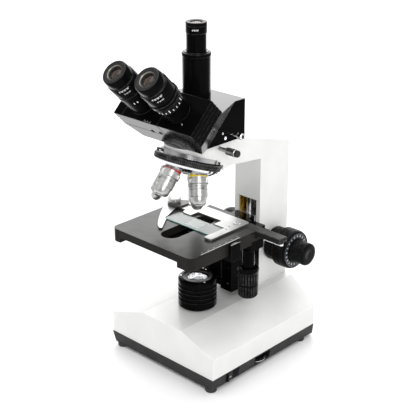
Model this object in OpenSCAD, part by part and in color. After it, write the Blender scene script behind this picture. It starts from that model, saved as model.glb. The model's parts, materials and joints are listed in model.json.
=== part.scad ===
// Trinocular laboratory microscope with a coaxial mechanical stage.
// The origin is on the table, straight under the optical axis. +Z is up, -Y is the user's side.

/* [Base] */
// Width of the base
base_w = 174; // [170:1:180]
// Distance from the optical axis to the front of the base
base_front = 65.5; // [64:0.5:70]
// Distance from the optical axis to the rear end of the straight sides
side_rear = 125.5; // [122:0.5:128]
// Distance from the optical axis to the back of the base
base_rear = 147; // [147:0.5:150]
// Height of the seam between pan and cover
seam_z = 20; // [20:0.5:21]
// Height of the top of the cover's upright walls
wall_z = 47; // [46:0.5:49]
// Height of the flat deck
deck_z = 65; // [64.5:0.5:65]
// Half width of the flat deck
deck_half = 32.5; // [31:0.5:36]
// Thickness of the cover and the pan
shell_t = 3; // [2.5:0.5:3]
// Height of the rubber feet
foot_h = 5; // [5:0.5:5.5]

/* [Arm] */
// Width of the arm
arm_w = 42; // [40:1:44]
// Front face of the column
arm_front = 91; // [90.5:0.5:92]
// Rear face of the column
arm_rear = 146; // [144:0.5:146]
// Height of the top edge at the column's rear
arm_rear_z = 250; // [246:1:252]
// Height of the seat for the head
seat_z = 282; // [281:0.5:282]
// Radius of the round nose under the head
nose_r = 33; // [32:0.5:34]
// Top of the slot in the column
slot_top = 181.8; // [179:0.2:186]
// Width of the slot in the column
slot_w = 30.4; // [30.4:0.1:31]

/* [Illuminator] */
// Radius of the lamp house
lamp_house_r = 24; // [23:0.5:25]
// Height of the top of the lamp house
lamp_house_top = 104; // [102:0.5:104]
// Number of cooling grooves
lamp_grooves = 4; // [3:1:4]

/* [Focus] */
// Height of the focus axis
focus_z = 118; // [117:0.5:119]
// Radius of the coarse knobs
coarse_r = 25.3; // [24:0.1:25.5]
// Radius of the collars beside the arm
collar_r = 22; // [20:0.5:23]
// Radius of the fine knobs
fine_r = 14.5; // [13:0.5:16]

/* [Stage] */
// Width of the stage
stage_w = 133; // [130:1:135]
// Height of the stage's top
stage_z = 174.8; // [174.8:0.1:174.9]
// Front edge of the stage, measured from the optical axis
stage_front = 78.6; // [76:0.2:82]
// Radius of the stage's aperture
aperture_r = 12.5; // [11:0.5:13]
// Length of a specimen slide
slide_len = 75; // [74:0.5:75]
// Radius of the stage knobs
stage_knob_r = 12.5; // [11:0.5:13]

/* [Nosepiece] */
// Tilt of the nosepiece's axis
nose_tilt = 20.4; // [20:0.1:21]
// Radius of the knurled ring
ring_r = 40; // [39:0.5:41]
// Distance of each objective from the nosepiece's axis
objective_ring_r = 16.5; // [16.4:0.05:16.6]

/* [Head] */
// Width of the head's front
head_w = 124; // [122:1:126]
// Width of the head's rear box
box_w = 80; // [78:1:82]
// Height of the slanted front panel
panel_h = 46; // [45:0.5:47]
// Distance of each eyetube from the middle
eye_x = 27.5; // [27:0.5:28]
// Outer radius of the photo tube
photo_tube_r = 16.35; // [15.5:0.05:17]
// Radius of an eyepiece's barrel
eyepiece_r = 11.6; // [11.5:0.05:11.6]
// Outer radius of the eyepieces
eye_rim_r = 14.8; // [14:0.1:15.5]

/* [Hidden] */
$fn = 64;

hw = base_w / 2;              // half width of the base
rear_half = 30;               // half width of the base's flat back
pan_z = foot_h;               // underside of the pan
pan_draft = 2.5;              // how far the pan's walls lean in
post_x = 77;                  // places of the four base screws
post_front = -57;
post_rear = 108;
focus_y = 118;                // focus axis, in the middle of the column
fit = 0.05;                   // radial clearance of a running fit
gap = 0.3;                    // clearance between bodies
lens_r = 13;
switch_x = 83;                // pivot of the rocker switch
switch_y = -28.5;
switch_z = 12.5;
dimmer_x = 73.5;              // axis of the dimmer wheel
dimmer_y = 25.5;
stage_half = stage_w / 2;
slab_t = 9.8;                 // thickness of the stage plate
stage_rear = 30.2;
coax_x = 57;                  // axis of the coaxial stage knobs
coax_y = 29.5;
vernier_y = -9;                // middle of the vernier
pivot_x = -59;                // pivot of the slide finger
pivot_y = 20.5;
ring_y = -15.5;               // centre of the knurled ring
ring_z = 259;
left_shoulder = 31.7;          // height above the panel at which each eyepiece sits
right_shoulder = 36;
panel_y = -56.45;             // middle of the slanted front panel
panel_z = 333.35;
block_t = 22;                 // thickness of the sliding eyetube blocks
seam_x = 9.15;                // seam between the two blocks
head_z = 285;                 // underside of the head
box_top = 331;                // top of the head's box
box_rear = 38.8;
rod_y = 11;                   // light-path rod
rod_z = 296;
clamp_y = 6;                  // head clamp screw
clamp_z = 276;
SILVER = [0.78, 0.78, 0.8];
BLACK = [0.09, 0.09, 0.1];
WHITE = [0.94, 0.94, 0.93];
BRASS = [0.8, 0.65, 0.3];
GLASS = [0.75, 0.85, 0.9, 0.4];

// ---------- shared shapes ----------

// Cylinder along X from x0 to x1.
module rod_x(x0, x1, r, y = 0, z = 0)
    translate([x0, y, z]) rotate([0, 90, 0]) cylinder(r = r, h = x1 - x0);

// Tube along X from x0 to x1.
module tube_x(x0, x1, r, bore, y = 0, z = 0)
    difference() {
        rod_x(x0, x1, r, y, z);
        rod_x(x0 - 1, x1 + 1, bore, y, z);
    }

// Box given by its two corners.
module block(a, b)
    translate(a) cube(b - a);

// Side view profile, points as [y, z], spread over the width w.
module side_profile(w, points)
    translate([-w / 2, 0, 0]) rotate([90, 0, 90]) linear_extrude(height = w) polygon(points);

// Outline of the base, drawn in by d.
module base_outline(d = 0)
    polygon([[-hw + d, -base_front + d], [hw - d, -base_front + d], [hw - d, side_rear - d / 2],
        [rear_half - d / 3, base_rear - d], [-rear_half + d / 3, base_rear - d],
        [-hw + d, side_rear - d / 2]]);

// The frame of the nosepiece: its axis along Z, the ring's middle at the origin.
module nosepiece_frame()
    translate([0, ring_y, ring_z]) rotate([-nose_tilt, 0, 0]) children();

// The frame of one objective: it points down -Z, az 0 is the working place.
module objective_frame(az)
    nosepiece_frame() rotate([0, 0, az]) translate([0, objective_ring_r, 0])
        rotate([nose_tilt, 0, 0]) children();

// The frame of the slanted panel: Z out along the eyetubes, Y up the slope.
module panel_frame()
    translate([0, panel_y, panel_z]) rotate([45, 0, 0]) children();

// A turned part from points [radius, height].
module turned(points)
    rotate_extrude() polygon(points);

// ---------- base ----------

module cover_solid(d, z0)
    intersection() {
        translate([0, 0, z0]) linear_extrude(height = deck_z) base_outline(d);
        translate([0, base_rear + 20, 0]) rotate([90, 0, 0]) linear_extrude(height = 300)
            polygon([[-hw, 0], [hw, 0], [hw, wall_z - d], [deck_half, deck_z - d],
                [-deck_half, deck_z - d], [-hw, wall_z - d]]);
        side_profile(300, [[-base_front + d, 0], [base_rear - d, 0], [base_rear - d, deck_z - d],
            [-base_front + d + 3, deck_z - d]]);
    }

module base_cover() {
    inlet_half = 14;
    color(WHITE) difference() {
        union() {
            difference() {
                cover_solid(0, seam_z);
                cover_solid(shell_t, seam_z - 1);
            }
            for (x = [-post_x, post_x])
                for (y = [post_front, post_rear])
                    translate([x, y, seam_z]) cylinder(r = 5, h = 28);
        }
        for (x = [-post_x, post_x])
            for (y = [post_front, post_rear])
                translate([x, y, seam_z - 1]) cylinder(r = 1.6, h = 16);
        translate([0, 0, deck_z - 10]) cylinder(r = 9.5, h = 20);
        block([-inlet_half, base_rear - 10, 24], [inlet_half, base_rear + 1, 44]);
    }
}

module pan_solid()
    intersection() {
        translate([0, 0, pan_z]) linear_extrude(height = seam_z - pan_z) base_outline();
        translate([0, base_rear + 20, 0]) rotate([90, 0, 0]) linear_extrude(height = 300)
            polygon([[-hw + pan_draft, pan_z], [hw - pan_draft, pan_z], [hw, seam_z],
                [-hw, seam_z]]);
        side_profile(300, [[-base_front + pan_draft, pan_z], [base_rear, pan_z],
            [base_rear, seam_z], [-base_front, seam_z]]);
    }

module base_pan() {
    floor_t = 2.5;
    color(BLACK) difference() {
        union() {
            difference() {
                pan_solid();
                translate([0, 0, pan_z + floor_t]) linear_extrude(height = 40)
                    base_outline(shell_t + pan_draft);
            }
            for (x = [-post_x, post_x])
                for (y = [post_front, post_rear])
                    translate([x, y, pan_z]) cylinder(r = 5, h = seam_z - pan_z);
            for (x = [24, 62])
                for (y = [-4, 58])
                    translate([x, y, pan_z]) cylinder(r = 2.5, h = 17);
        }
        for (x = [-post_x, post_x])
            for (y = [post_front, post_rear])
                translate([x, y, 0]) cylinder(r = 1.8, h = 40);
        // window and pivot holes of the rocker switch
        block([70, switch_y - 11.3, 6.5], [hw + 2, switch_y + 11.3, 18.5]);
        translate([switch_x, switch_y, pan_z + 0.8]) cylinder(r = 1 + fit, h = 14.2);
        // window of the dimmer wheel
        block([70, dimmer_y - 14.2, pan_z + floor_t], [hw + 2, dimmer_y + 14.2, 18]);
    }
}

module rubber_feet()
    color([0.05, 0.05, 0.05]) for (x = [-post_x, post_x])
        for (y = [post_front, post_rear])
            translate([x, y, 0]) difference() {
                cylinder(r = 7, h = foot_h);
                translate([0, 0, -1]) cylinder(r = 1.8, h = 9);
                translate([0, 0, -1]) cylinder(r = 3.6, h = 3.2);
            }

module base_screws()
    color(SILVER) for (x = [-post_x, post_x])
        for (y = [post_front, post_rear])
            translate([x, y, 0]) {
                translate([0, 0, 0.6]) cylinder(r = 3.2, h = 1.6);
                translate([0, 0, 1]) cylinder(r = 1.55, h = 30);
            }

module circuit_board()
    color([0.1, 0.4, 0.2]) {
        block([20, -8, 22], [70, 62, 23.6]);
        // the potentiometer that the dimmer wheel turns
        difference() {
            block([66, dimmer_y - 7, 13.3], [80, dimmer_y + 7, 22.1]);
            translate([dimmer_x, dimmer_y, 13]) cylinder(r = 2 + fit, h = 5);
        }
        block([28, 10, 23.5], [44, 30, 31]);
        translate([52, 48, 23.5]) cylinder(r = 6, h = 14);
    }

module transformer()
    color([0.35, 0.3, 0.28]) {
        block([-60, 20, pan_z + 2.5], [-18, 62, 34]);
        block([-64, 34, pan_z + 2.5], [-14, 48, 30]);
    }

module power_inlet() {
    mouth_y = base_rear + 2;
    color(BLACK) difference() {
        union() {
            block([-13.9, base_rear - 20, 24.1], [13.9, base_rear + 0.5, 43.9]);
            block([-16, base_rear, 22.6], [16, mouth_y, 45.4]);
        }
        block([-12, base_rear - 15, 26], [12, mouth_y + 1, 42]);
    }
    color(SILVER) for (p = [[-7, 32], [7, 32], [0, 37]])
        block([p[0] - 1, base_rear - 17, p[1] - 2], [p[0] + 1, base_rear - 1, p[1] + 2]);
}

module power_switch() {
    rock = 6;
    color([0.13, 0.13, 0.14]) translate([switch_x, switch_y, 0]) rotate([0, 0, rock]) {
        translate([0, 0, 6.9]) linear_extrude(height = 11.2)
            polygon([[-3, -4], [1, -10.2], [3.8, -10.2], [2.6, 0], [3.8, 10.2], [1, 10.2],
                [-3, 4]]);
        translate([0, 0, pan_z + 1]) cylinder(r = 1, h = 13.6);
    }
}

module dimmer_wheel()
    color(SILVER) difference() {
        union() {
            translate([dimmer_x, dimmer_y, 8.4]) cylinder(r = 13.3, h = 4.4);
            translate([dimmer_x, dimmer_y, 12]) cylinder(r = 2, h = 5);
        }
        for (a = [0:20:359])
            translate([dimmer_x, dimmer_y, 7]) rotate([0, 0, a]) translate([13.5, 0, 0])
                cylinder(r = 0.7, h = 8, $fn = 16);
    }

// ---------- lamp ----------

module lamp_house() {
    step = 5.8;
    color(BLACK) difference() {
        union() {
            translate([0, 0, deck_z]) cylinder(r = 20, h = 2.5);
            translate([0, 0, deck_z + 2]) cylinder(r = lamp_house_r, h = lamp_house_top - deck_z - 2);
        }
        for (i = [0:lamp_grooves - 1])
            translate([0, 0, lamp_house_top - 10 - i * step]) difference() {
                cylinder(r = lamp_house_r + 1, h = 2.4);
                translate([0, 0, -1]) cylinder(r = lamp_house_r - 1.8, h = 5);
            }
        translate([0, 0, deck_z - 1]) cylinder(r = 18, h = lamp_house_top - deck_z - 7);
        translate([0, 0, deck_z]) cylinder(r = 11.5, h = 60);
        translate([0, 0, lamp_house_top - 4]) cylinder(r = lens_r + 0.02, h = 5);
    }
}

module field_lens() {
    dome = 70;
    color(GLASS) intersection() {
        translate([0, 0, lamp_house_top - 4]) cylinder(r = lens_r, h = 5);
        translate([0, 0, lamp_house_top + 0.4 - dome]) sphere(r = dome, $fn = 200);
    }
}

module lamp_bulb()
    color([1, 0.95, 0.8]) translate([0, 0, deck_z])
        turned([[0, -6], [13, -6], [13, -3], [9.3, -3], [9.3, 5], [4.5, 5], [4.5, 8], [4, 9],
            [4, 19], [3, 22], [0, 23]]);

// ---------- arm ----------

module arm() {
    beam_z = 239;
    nose_y = -8;
    color(WHITE) difference() {
        union() {
            side_profile(arm_w, [[arm_front, deck_z], [arm_rear, deck_z],
                [arm_rear, arm_rear_z - 4], [arm_rear - 4, arm_rear_z + 1], [29, seat_z],
                [0, seat_z], [0, 249], [arm_front, beam_z]]);
            // the round nose runs into the beam's sides
            translate([0, nose_y, 246]) cylinder(r = nose_r, h = seat_z - 246, $fn = 96);
            translate([0, 0, 246]) linear_extrude(height = seat_z - 246)
                polygon([[nose_r * 0.964, nose_y + nose_r * 0.265], [arm_w / 2, 40],
                    [-arm_w / 2, 40], [-nose_r * 0.964, nose_y + nose_r * 0.265]]);
        }
        // the sloping top
        side_profile(100, [[29, seat_z], [60, seat_z], [60, seat_z - 8.4]]);
        // seat of the rotating head, with the light path below it
        translate([0, 0, 272.5]) cylinder(r = 22 + fit, h = 20);
        translate([0, 0, 240]) cylinder(r = 10, h = 60);
        // room for the tilted nosepiece
        nosepiece_frame() translate([0, 0, -60]) cylinder(r = ring_r + 2, h = 64.4);
        nosepiece_frame() translate([0, 0, -60]) cylinder(r = 34, h = 69.5);
        nosepiece_frame() translate([-60, -60, -60]) cube([120, 76, 69.5]);
        // slot of the focus slide
        block([-slot_w / 2, arm_front - 5, 84], [slot_w / 2, 127, slot_top]);
        rod_x(-arm_w, arm_w, 8, focus_y, focus_z);
        translate([-6, 103, 76]) cylinder(r = 4.5, h = 114);
        // head clamp screw
        rod_x(10, 60, 2.5 + fit, clamp_y, clamp_z);
    }
}

module guide_rod()
    color(SILVER) translate([-6, 103, 76]) cylinder(r = 4.5, h = 114);

module brass_gib()
    color(BRASS) block([-slot_w / 2, 93, 84], [-slot_w / 2 + 2.8, 112, slot_top]);

module shaft_bushes()
    color(BRASS) for (s = [-1, 1])
        scale([s, 1, 1]) tube_x(slot_w / 2 + 0.1, 23.7, 8, 5 + fit, focus_y, focus_z);

module nosepiece_mount()
    color(SILVER) difference() {
        nosepiece_frame() {
            translate([0, 0, 4.5]) cylinder(r = 33.9, h = 5);
            translate([0, 0, -8]) cylinder(r = 7, h = 13);
        }
        translate([0, 0, 230]) cylinder(r = 8, h = 60);
    }

// ---------- focus drive ----------

module coarse_shaft()
    color(SILVER) {
        tube_x(-60, 60, 5, 3 + fit, focus_y, focus_z);
        tube_x(-1, 7, 5.7, 3 + fit, focus_y, focus_z);
    }

module coarse_knob_right()
    color(BLACK) difference() {
        union() {
            rod_x(39.3, 58.5, coarse_r, focus_y, focus_z);
            rod_x(58, 60, coarse_r - 1.5, focus_y, focus_z);
        }
        rod_x(30, 70, 5, focus_y, focus_z);
        difference() {
            rod_x(58.8, 61, coarse_r - 3, focus_y, focus_z);
            rod_x(58, 62, fine_r + 1.5, focus_y, focus_z);
        }
    }

module coarse_knob_left()
    color(BLACK) difference() {
        union() {
            rod_x(-58.5, -39, coarse_r, focus_y, focus_z);
            rod_x(-60, -58, coarse_r - 1.5, focus_y, focus_z);
            rod_x(-40, -24, collar_r, focus_y, focus_z);
        }
        rod_x(-70, -20, 5, focus_y, focus_z);
    }

module tension_collar()
    color(BLACK) tube_x(24, 39, collar_r, 5 + fit, focus_y, focus_z);

module fine_shaft()
    color(SILVER) rod_x(-79, 79, 3, focus_y, focus_z);

module fine_knob(s)
    color(BLACK) scale([s, 1, 1]) difference() {
        union() {
            rod_x(60.3, 79.5, fine_r, focus_y, focus_z);
            rod_x(79, 81, fine_r - 1.5, focus_y, focus_z);
        }
        rod_x(50, 79, 3, focus_y, focus_z);
    }

module fine_knob_right()
    fine_knob(1);

module fine_knob_left()
    fine_knob(-1);

module focus_carriage()
    color(BLACK) difference() {
        block([-slot_w / 2 + 3.1, 88, 125], [slot_w / 2 - gap, 109, 161.5]);
        translate([-6, 103, 120]) cylinder(r = 4.5 + fit, h = 50);
    }

module focus_rack()
    color(SILVER) block([-2, 109, 96], [8, 112, 156]);

module focus_bracket()
    color(BLACK) difference() {
        union() {
            block([-24, 36, 76], [24, 88, 120]);
            block([-16, 36, 119], [16, 51, 140]);
            block([-20, 50, 119], [20, 88, 151.5]);
            block([-14.5, 76, 150], [14.5, 88, 161.5]);
        }
        // groove of the condenser slide and bore of its pinion
        block([-5 - fit, 30, 70], [5 + fit, 41.3, 160]);
        rod_x(-30, 6, 4.4 + fit, 45.5, 104);
    }

// ---------- stage ----------

module stage_base()
    color(BLACK) difference() {
        union() {
            block([-51, -48, 151.5], [43, 76, 161.5]);
            block([-51, -48, 161], [43, 6, 164.5]);
            block([42, 8, 152], [50.7, 76, 157.2]);
            // vernier beside the stage's right edge
            block([42, vernier_y - 8, 151.5], [71, vernier_y + 8, 156.5]);
            block([stage_half + 0.6, vernier_y - 8, 151.5], [71, vernier_y + 8, stage_z - 1.8]);
        }
        translate([0, 0, 140]) cylinder(r = 24, h = 30);
    }

module stage_outline(r = 8)
    difference() {
        union() {
            translate([-stage_half, -stage_front + r]) square([stage_w, stage_rear + stage_front - r]);
            translate([-stage_half + r, -stage_front]) square([stage_w - 2 * r, r + 1]);
            for (x = [-stage_half + r, stage_half - r])
                translate([x, -stage_front + r]) circle(r = r);
        }
    }

module stage_plate() {
    slot_front = -43.5;
    slot_back = 12;
    color([0.16, 0.155, 0.15]) difference() {
        union() {
            translate([0, 0, stage_z - slab_t]) linear_extrude(height = slab_t) stage_outline();
            intersection() {
                translate([0, 0, 158.5]) linear_extrude(height = 8) stage_outline();
                union() {
                    block([-80, -90, 150], [-51.8, 23.9, 170]);
                    block([44, -90, 150], [80, 23.9, 170]);
                }
            }
            block([-stage_half, 20, 162], [stage_half, 46, stage_z - slab_t + 0.2]);
            block([-60, 39, 164], [60, 42, 170]);
        }
        translate([0, 0, 150]) linear_extrude(height = 40) {
            translate([-aperture_r, slot_front]) square([2 * aperture_r, slot_back - slot_front]);
            for (y = [slot_front, slot_back])
                translate([0, y]) circle(r = aperture_r);
        }
        translate([coax_x, coax_y, 150]) cylinder(r = 3.4, h = 16);
        translate([coax_x, coax_y, stage_z - slab_t - 0.1]) cylinder(r = 4.9, h = 3.5);
        translate([0, 0, 160]) linear_extrude(height = 5) circle(r = 24);
        // room for the condenser's rim when the stage is fully forward
        block([-20, 0, 160], [20, 28.5, 163.4]);
    }
}

module drive_block()
    color(BLACK) difference() {
        union() {
            block([44, 24, 149], [66, 46, 162]);
            translate([coax_x, coax_y, 126]) cylinder(r = 8, h = 24);
        }
        translate([coax_x, coax_y, 120]) cylinder(r = 6 + fit, h = 40);
        translate([coax_x, coax_y, 150]) cylinder(r = 3.4, h = 20);
        translate([coax_x, coax_y, 151]) cylinder(r = 6.4, h = 7.5);
        block([43, 20, 151.2], [51.3, 50, 158.2]);
    }

module stage_y_knob()
    color(BLACK) translate([coax_x, coax_y, 0]) difference() {
        union() {
            translate([0, 0, 104]) cylinder(r = stage_knob_r, h = 17);
            translate([0, 0, 120]) cylinder(r = stage_knob_r + 0.9, h = 4);
            translate([0, 0, 123]) cylinder(r = stage_knob_r - 1.5, h = 2.6);
            translate([0, 0, 104]) cylinder(r = 6, h = 54);
        }
        translate([0, 0, 100]) cylinder(r = 3 + fit, h = 70);
    }

module stage_x_knob()
    color(BLACK) translate([coax_x, coax_y, 0]) {
        translate([0, 0, 86.4]) cylinder(r = stage_knob_r - 1.5, h = 3);
        translate([0, 0, 88]) cylinder(r = stage_knob_r - 0.3, h = 15.7);
        translate([0, 0, 100]) cylinder(r = 3, h = 66);
        translate([0, 0, 165.6]) cylinder(r = 4.1, h = 2.1);
    }

module carriage_bar()
    color([0.2, 0.2, 0.2]) difference() {
        block([-50, 30.5, 168], [104, 44, 175.2]);
        block([-60, 38.7, 160], [110, 42.3, 170.3]);
    }

module carriage_rack()
    color(SILVER) block([28, 33.9, 165.5], [104, 37.4, 168]);

module slide_holder() {
    top = 177.6;
    color(SILVER) difference() {
        union() {
            translate([0, 0, 175.2]) linear_extrude(height = top - 175.2)
                polygon([[49, 38], [46, 41], [-46, 41], [-49, 38], [-48.8, 15.8], [-35.5, 15.8],
                    [-33.5, 9.5], [-31, 7.8], [-18.7, 7.8], [-18.7, 21], [20.6, 21], [20.6, 7.8],
                    [37.4, 7.8], [37.4, -26], [39, -28], [47, -28], [49, -26]]);
            translate([0, 0, top - 0.1]) linear_extrude(height = 2.4) {
                translate([pivot_x, pivot_y]) circle(r = 9.3);
                polygon([[-58, 11.3], [-43.9, 14.8], [-43, 28.7], [-50, 36.5], [-60, 29.7]]);
            }
        }
        translate([pivot_x, pivot_y, 170]) cylinder(r = 2.5, h = 20);
    }
}

module specimen_slide()
    color(GLASS) {
        translate([37.2 - slide_len, -17.5, 175.1]) cube([slide_len, 25, 1.1]);
        translate([-8, -14, 176.2]) cube([22, 18, 0.2]);
    }

module finger_screw()
    color(SILVER) translate([pivot_x, pivot_y, 0]) {
        translate([0, 0, 175.1]) cylinder(r = 2.5, h = 6);
        translate([0, 0, 179.9]) cylinder(r = 6.2, h = 3);
        translate([0, 0, 181.8]) cylinder(r = 8.4, h = 4.4);
        translate([0, 0, 186]) intersection() {
            cylinder(r = 7.7, h = 4);
            translate([0, 0, -10.2]) sphere(r = 12.8);
        }
    }

// A bowed blade on its pivot, cut back beside the corner of the slide.
module slide_finger() {
    blade = [[-66.5, 18], [-66, 12], [-63.5, 5], [-53.2, -9.5], [-40.4, -25.6], [-28.7, -38.5],
        [-20.5, -44.2], [-17.3, -42], [-30.7, -23.1], [-39, -11.5], [-44.5, 1.7], [-50.4, 14],
        [-51, 18]];
    color(SILVER) translate([0, 0, 175.4]) linear_extrude(height = 1.7) difference() {
        union() {
            polygon(blade);
            translate([pivot_x, pivot_y]) circle(r = 8.2);
        }
        translate([pivot_x, pivot_y]) circle(r = 2.5 + fit);
        translate([-38.2, -18]) square([60, 40]);
    }
}

// ---------- condenser ----------

module condenser_carrier()
    color(BLACK) {
        block([-14, 28, 96], [14, 35.7, 148.5]);
        block([-5, 35, 96], [5, 40.8, 138]);
        difference() {
            union() {
                translate([0, 0, 143.5]) cylinder(r = 26, h = 5);
                block([-14, 20, 143.5], [14, 30, 148.5]);
            }
            translate([0, 0, 140]) cylinder(r = 21, h = 20);
        }
    }

module condenser_body() {
    stud_x = -24;
    color(BLACK) difference() {
        union() {
            turned([[16, 135], [21, 135], [21, 148.5], [22.5, 148.5], [22.5, 150.5], [19, 150.5],
                [19, 157], [15, 163], [13, 163], [13, 158], [16, 150]]);
            translate([stud_x, 0, 135]) cylinder(r = 4, h = 3);
            block([stud_x, -4, 135], [-17, 4, 138]);
            translate([stud_x, 0, 131]) cylinder(r = 1.5, h = 5);
            translate([stud_x, 0, 130.4]) cylinder(r = 2.6, h = 0.9);
        }
        translate([0, 0, 138.6]) cylinder(r = 18.5, h = 3.8);
        // window for the iris lever
        translate([0, 0, 138.6]) linear_extrude(height = 3.8)
            polygon([[0, 0], [40 * cos(212), 40 * sin(212)], [50 * cos(248), 50 * sin(248)],
                [40 * cos(284), 40 * sin(284)]]);
    }
}

module condenser_lens()
    color(GLASS) intersection() {
        translate([0, 0, 158]) cylinder(r = 13, h = 8);
        translate([0, 0, 130.5]) sphere(r = 34, $fn = 120);
    }

module condenser_knob()
    color(BLACK) {
        rod_x(-26, 5, 4.4, 45.5, 104);
        rod_x(-44, -25, 11, 45.5, 104);
    }

module iris_lever()
    color(SILVER) {
        translate([0, 0, 139.2]) difference() {
            cylinder(r = 18.2, h = 2.6);
            translate([0, 0, -1]) cylinder(r = 10, h = 5);
        }
        rotate([0, 0, 248]) translate([17, -1.8, 139.2]) cube([15, 3.6, 2.6]);
        rotate([0, 0, 248]) translate([32, 0, 137]) cylinder(r = 3, h = 6.5);
    }

module filter_holder()
    color(BLACK) difference() {
        union() {
            translate([0, 0, 131.6]) cylinder(r = 20, h = 3);
            translate([-24, 0, 131.6]) cylinder(r = 4, h = 3);
            block([-24, -4, 131.6], [-17, 4, 134.6]);
            block([0, -32, 131.6], [6, -17, 134.6]);
        }
        translate([0, 0, 132.6]) cylinder(r = 16.5, h = 5);
        translate([0, 0, 130]) cylinder(r = 14.5, h = 9);
        translate([-24, 0, 130]) cylinder(r = 1.5 + fit, h = 9);
    }

// ---------- nosepiece ----------

module nosepiece_turret()
    color(SILVER) difference() {
        union() {
            nosepiece_frame() turned([[0, 3], [33.9, 3], [33.9, -3.5], [38.5, -3.5], [37.5, -6],
                [31, -10.5], [20, -14], [0, -15]]);
            for (az = [0:90:270])
                objective_frame(az) translate([0, 0, -11]) cylinder(r = 11.6, h = 9);
        }
        nosepiece_frame() translate([0, 0, -8.2]) cylinder(r = 7 + fit, h = 20);
        for (az = [0:90:270]) {
            objective_frame(az) translate([0, 0, -12]) cylinder(r = 7.5, h = 30);
            // spot face under each seat
            objective_frame(az) translate([0, 0, -31]) cylinder(r = 12.1, h = 20);
        }
    }

module nosepiece_ring()
    color(BLACK) nosepiece_frame() difference() {
        union() {
            translate([0, 0, -3.5]) cylinder(r = ring_r - 0.7, h = 7, $fn = 96);
            translate([0, 0, -2.6]) cylinder(r = ring_r, h = 5.2, $fn = 96);
        }
        translate([0, 0, -5]) cylinder(r = 33.9, h = 10);
    }

// An objective from its shoulder (11 below the ring's middle) to its tip.
module objective(az, tip, nose)
    color(SILVER) objective_frame(az) difference() {
        turned([[0, -11], [9.6, -11], [9.6, -12], [10.4, -12.4], [10.4, -17], [11.75, -17.5],
            [11.75, -23], [10.4, -24], [10.4, -tip + 9], [9.6, -tip + 8], [nose + 1, -tip + 7],
            [nose, -tip + 1.2], [nose - 1.2, -tip], [nose - 2.4, -tip], [nose - 2.6, -tip + 1],
            [0, -tip + 1]]);
        translate([0, 0, -14]) cylinder(r = 7.5, h = 9);
    }

module objective_4x()
    objective(180, 46, 7.6);

module objective_10x()
    objective(270, 48, 7.4);

module objective_40x()
    objective(0, 59.2, 5.6);

module objective_100x()
    objective(90, 59.2, 4.6);

// ---------- head ----------

// The head's shape: its side view crossed with the taper seen square to the panel,
// drawn in by d.
module head_solid(d) {
    s = sqrt(0.5);
    half = panel_h / 2;
    front_y = panel_y + (block_t + gap + d - half) * s;
    front_z = panel_z - (block_t + gap + d + half) * s;
    low_y = panel_y - half * s + (panel_z - half * s - head_z);
    top_y = panel_y + half * s + (panel_z + half * s - box_top);
    back_y = front_y + box_top - front_z;
    intersection() {
        side_profile(head_w + 10, [[front_y + d * s, front_z + d * s], [low_y + d * 0.4, head_z + d],
            [box_rear - d, head_z + d], [box_rear - d, box_top - d], [top_y - d * 0.4, box_top - d],
            [front_y + (panel_h - d) * s, front_z + (panel_h - d) * s]]);
        panel_frame() rotate([90, 0, 0]) translate([0, 0, -90]) linear_extrude(height = 180)
            polygon([[-head_w / 2 + d, 0], [head_w / 2 - d, 0], [head_w / 2 - d, -23],
                [box_w / 2 - d, -56.7], [box_w / 2 - d, -140], [-box_w / 2 + d, -140],
                [-box_w / 2 + d, -56.7], [-head_w / 2 + d, -23]]);
    }
}

module head_body()
    color(BLACK) difference() {
        union() {
            difference() {
                union() {
                    head_solid(0);
                    // rails that the eyetube blocks slide on
                    for (y = [-19, 16])
                        panel_frame() block([-58, y, -block_t - 1], [58, y + 3, -block_t + 2]);
                }
                head_solid(3);
            }
            translate([0, 0, 272.8]) cylinder(r = 22, h = 16);
        }
        for (x = [-46, 19.5])
            panel_frame() block([x, -12, -40], [x + 26.5, 12, -15]);
        translate([0, 0, 270]) cylinder(r = 10, h = 30);
        translate([0, 0, 320]) cylinder(r = 12, h = 30);
        rod_x(30, 70, 1.8 + fit, rod_y, rod_z);
        // groove that the clamp screw reaches into
        translate([0, 0, clamp_z - 2.2]) difference() {
            cylinder(r = 30, h = 4.4);
            translate([0, 0, -1]) cylinder(r = 18.9, h = 8);
        }
    }

module photo_tube()
    color(BLACK) difference() {
        union() {
            translate([0, 0, box_top]) cylinder(r = photo_tube_r, h = 52);
            translate([0, 0, box_top + 51]) cylinder(r = photo_tube_r + 0.6, h = 4);
            translate([0, 0, box_top + 54]) cylinder(r = photo_tube_r - 1.6, h = 2);
        }
        translate([0, 0, box_top - 1]) cylinder(r = eyepiece_r, h = 60);
    }

module photo_eyepiece()
    color(BLACK) translate([0, 0, box_top + 50]) difference() {
        turned([[0, 0], [eyepiece_r, 0], [eyepiece_r, 26], [eyepiece_r + 0.75, 27],
            [eyepiece_r + 0.75, 38.4], [eyepiece_r, 39], [6.5, 39], [5.5, 37.5], [0, 37.5]]);
        translate([0, 0, -1]) cylinder(r = eyepiece_r - 1.6, h = 30);
    }

// One sliding block of the front panel with its eyetube.
module tube_block(x0, x1, tube_x, tube_r, tube_len)
    color(BLACK) panel_frame() difference() {
        union() {
            block([x0, -panel_h / 2, -block_t], [x1, panel_h / 2, 0]);
            translate([tube_x, 0, -1]) cylinder(r = tube_r, h = tube_len + 1);
        }
        translate([tube_x, 0, -block_t - 1]) cylinder(r = eyepiece_r + fit, h = 80);
        for (y = [-19, 16])
            block([x0 - 1, y - gap, -block_t - 1], [x1 + 1, y + 3 + gap, -block_t + 2.4]);
        // the layered outer ends
        for (w = [6, 11.5, 17])
            for (x = [-head_w / 2, head_w / 2])
                block([x - 1.4, -panel_h, -w - 0.7], [x + 1.4, panel_h, -w + 0.7]);
    }

module left_tube_block()
    tube_block(-head_w / 2, seam_x - gap / 2, -eye_x, 16.6, left_shoulder - gap);

module right_tube_block()
    tube_block(seam_x + gap / 2, head_w / 2, eye_x, 14, right_shoulder - gap);

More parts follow.
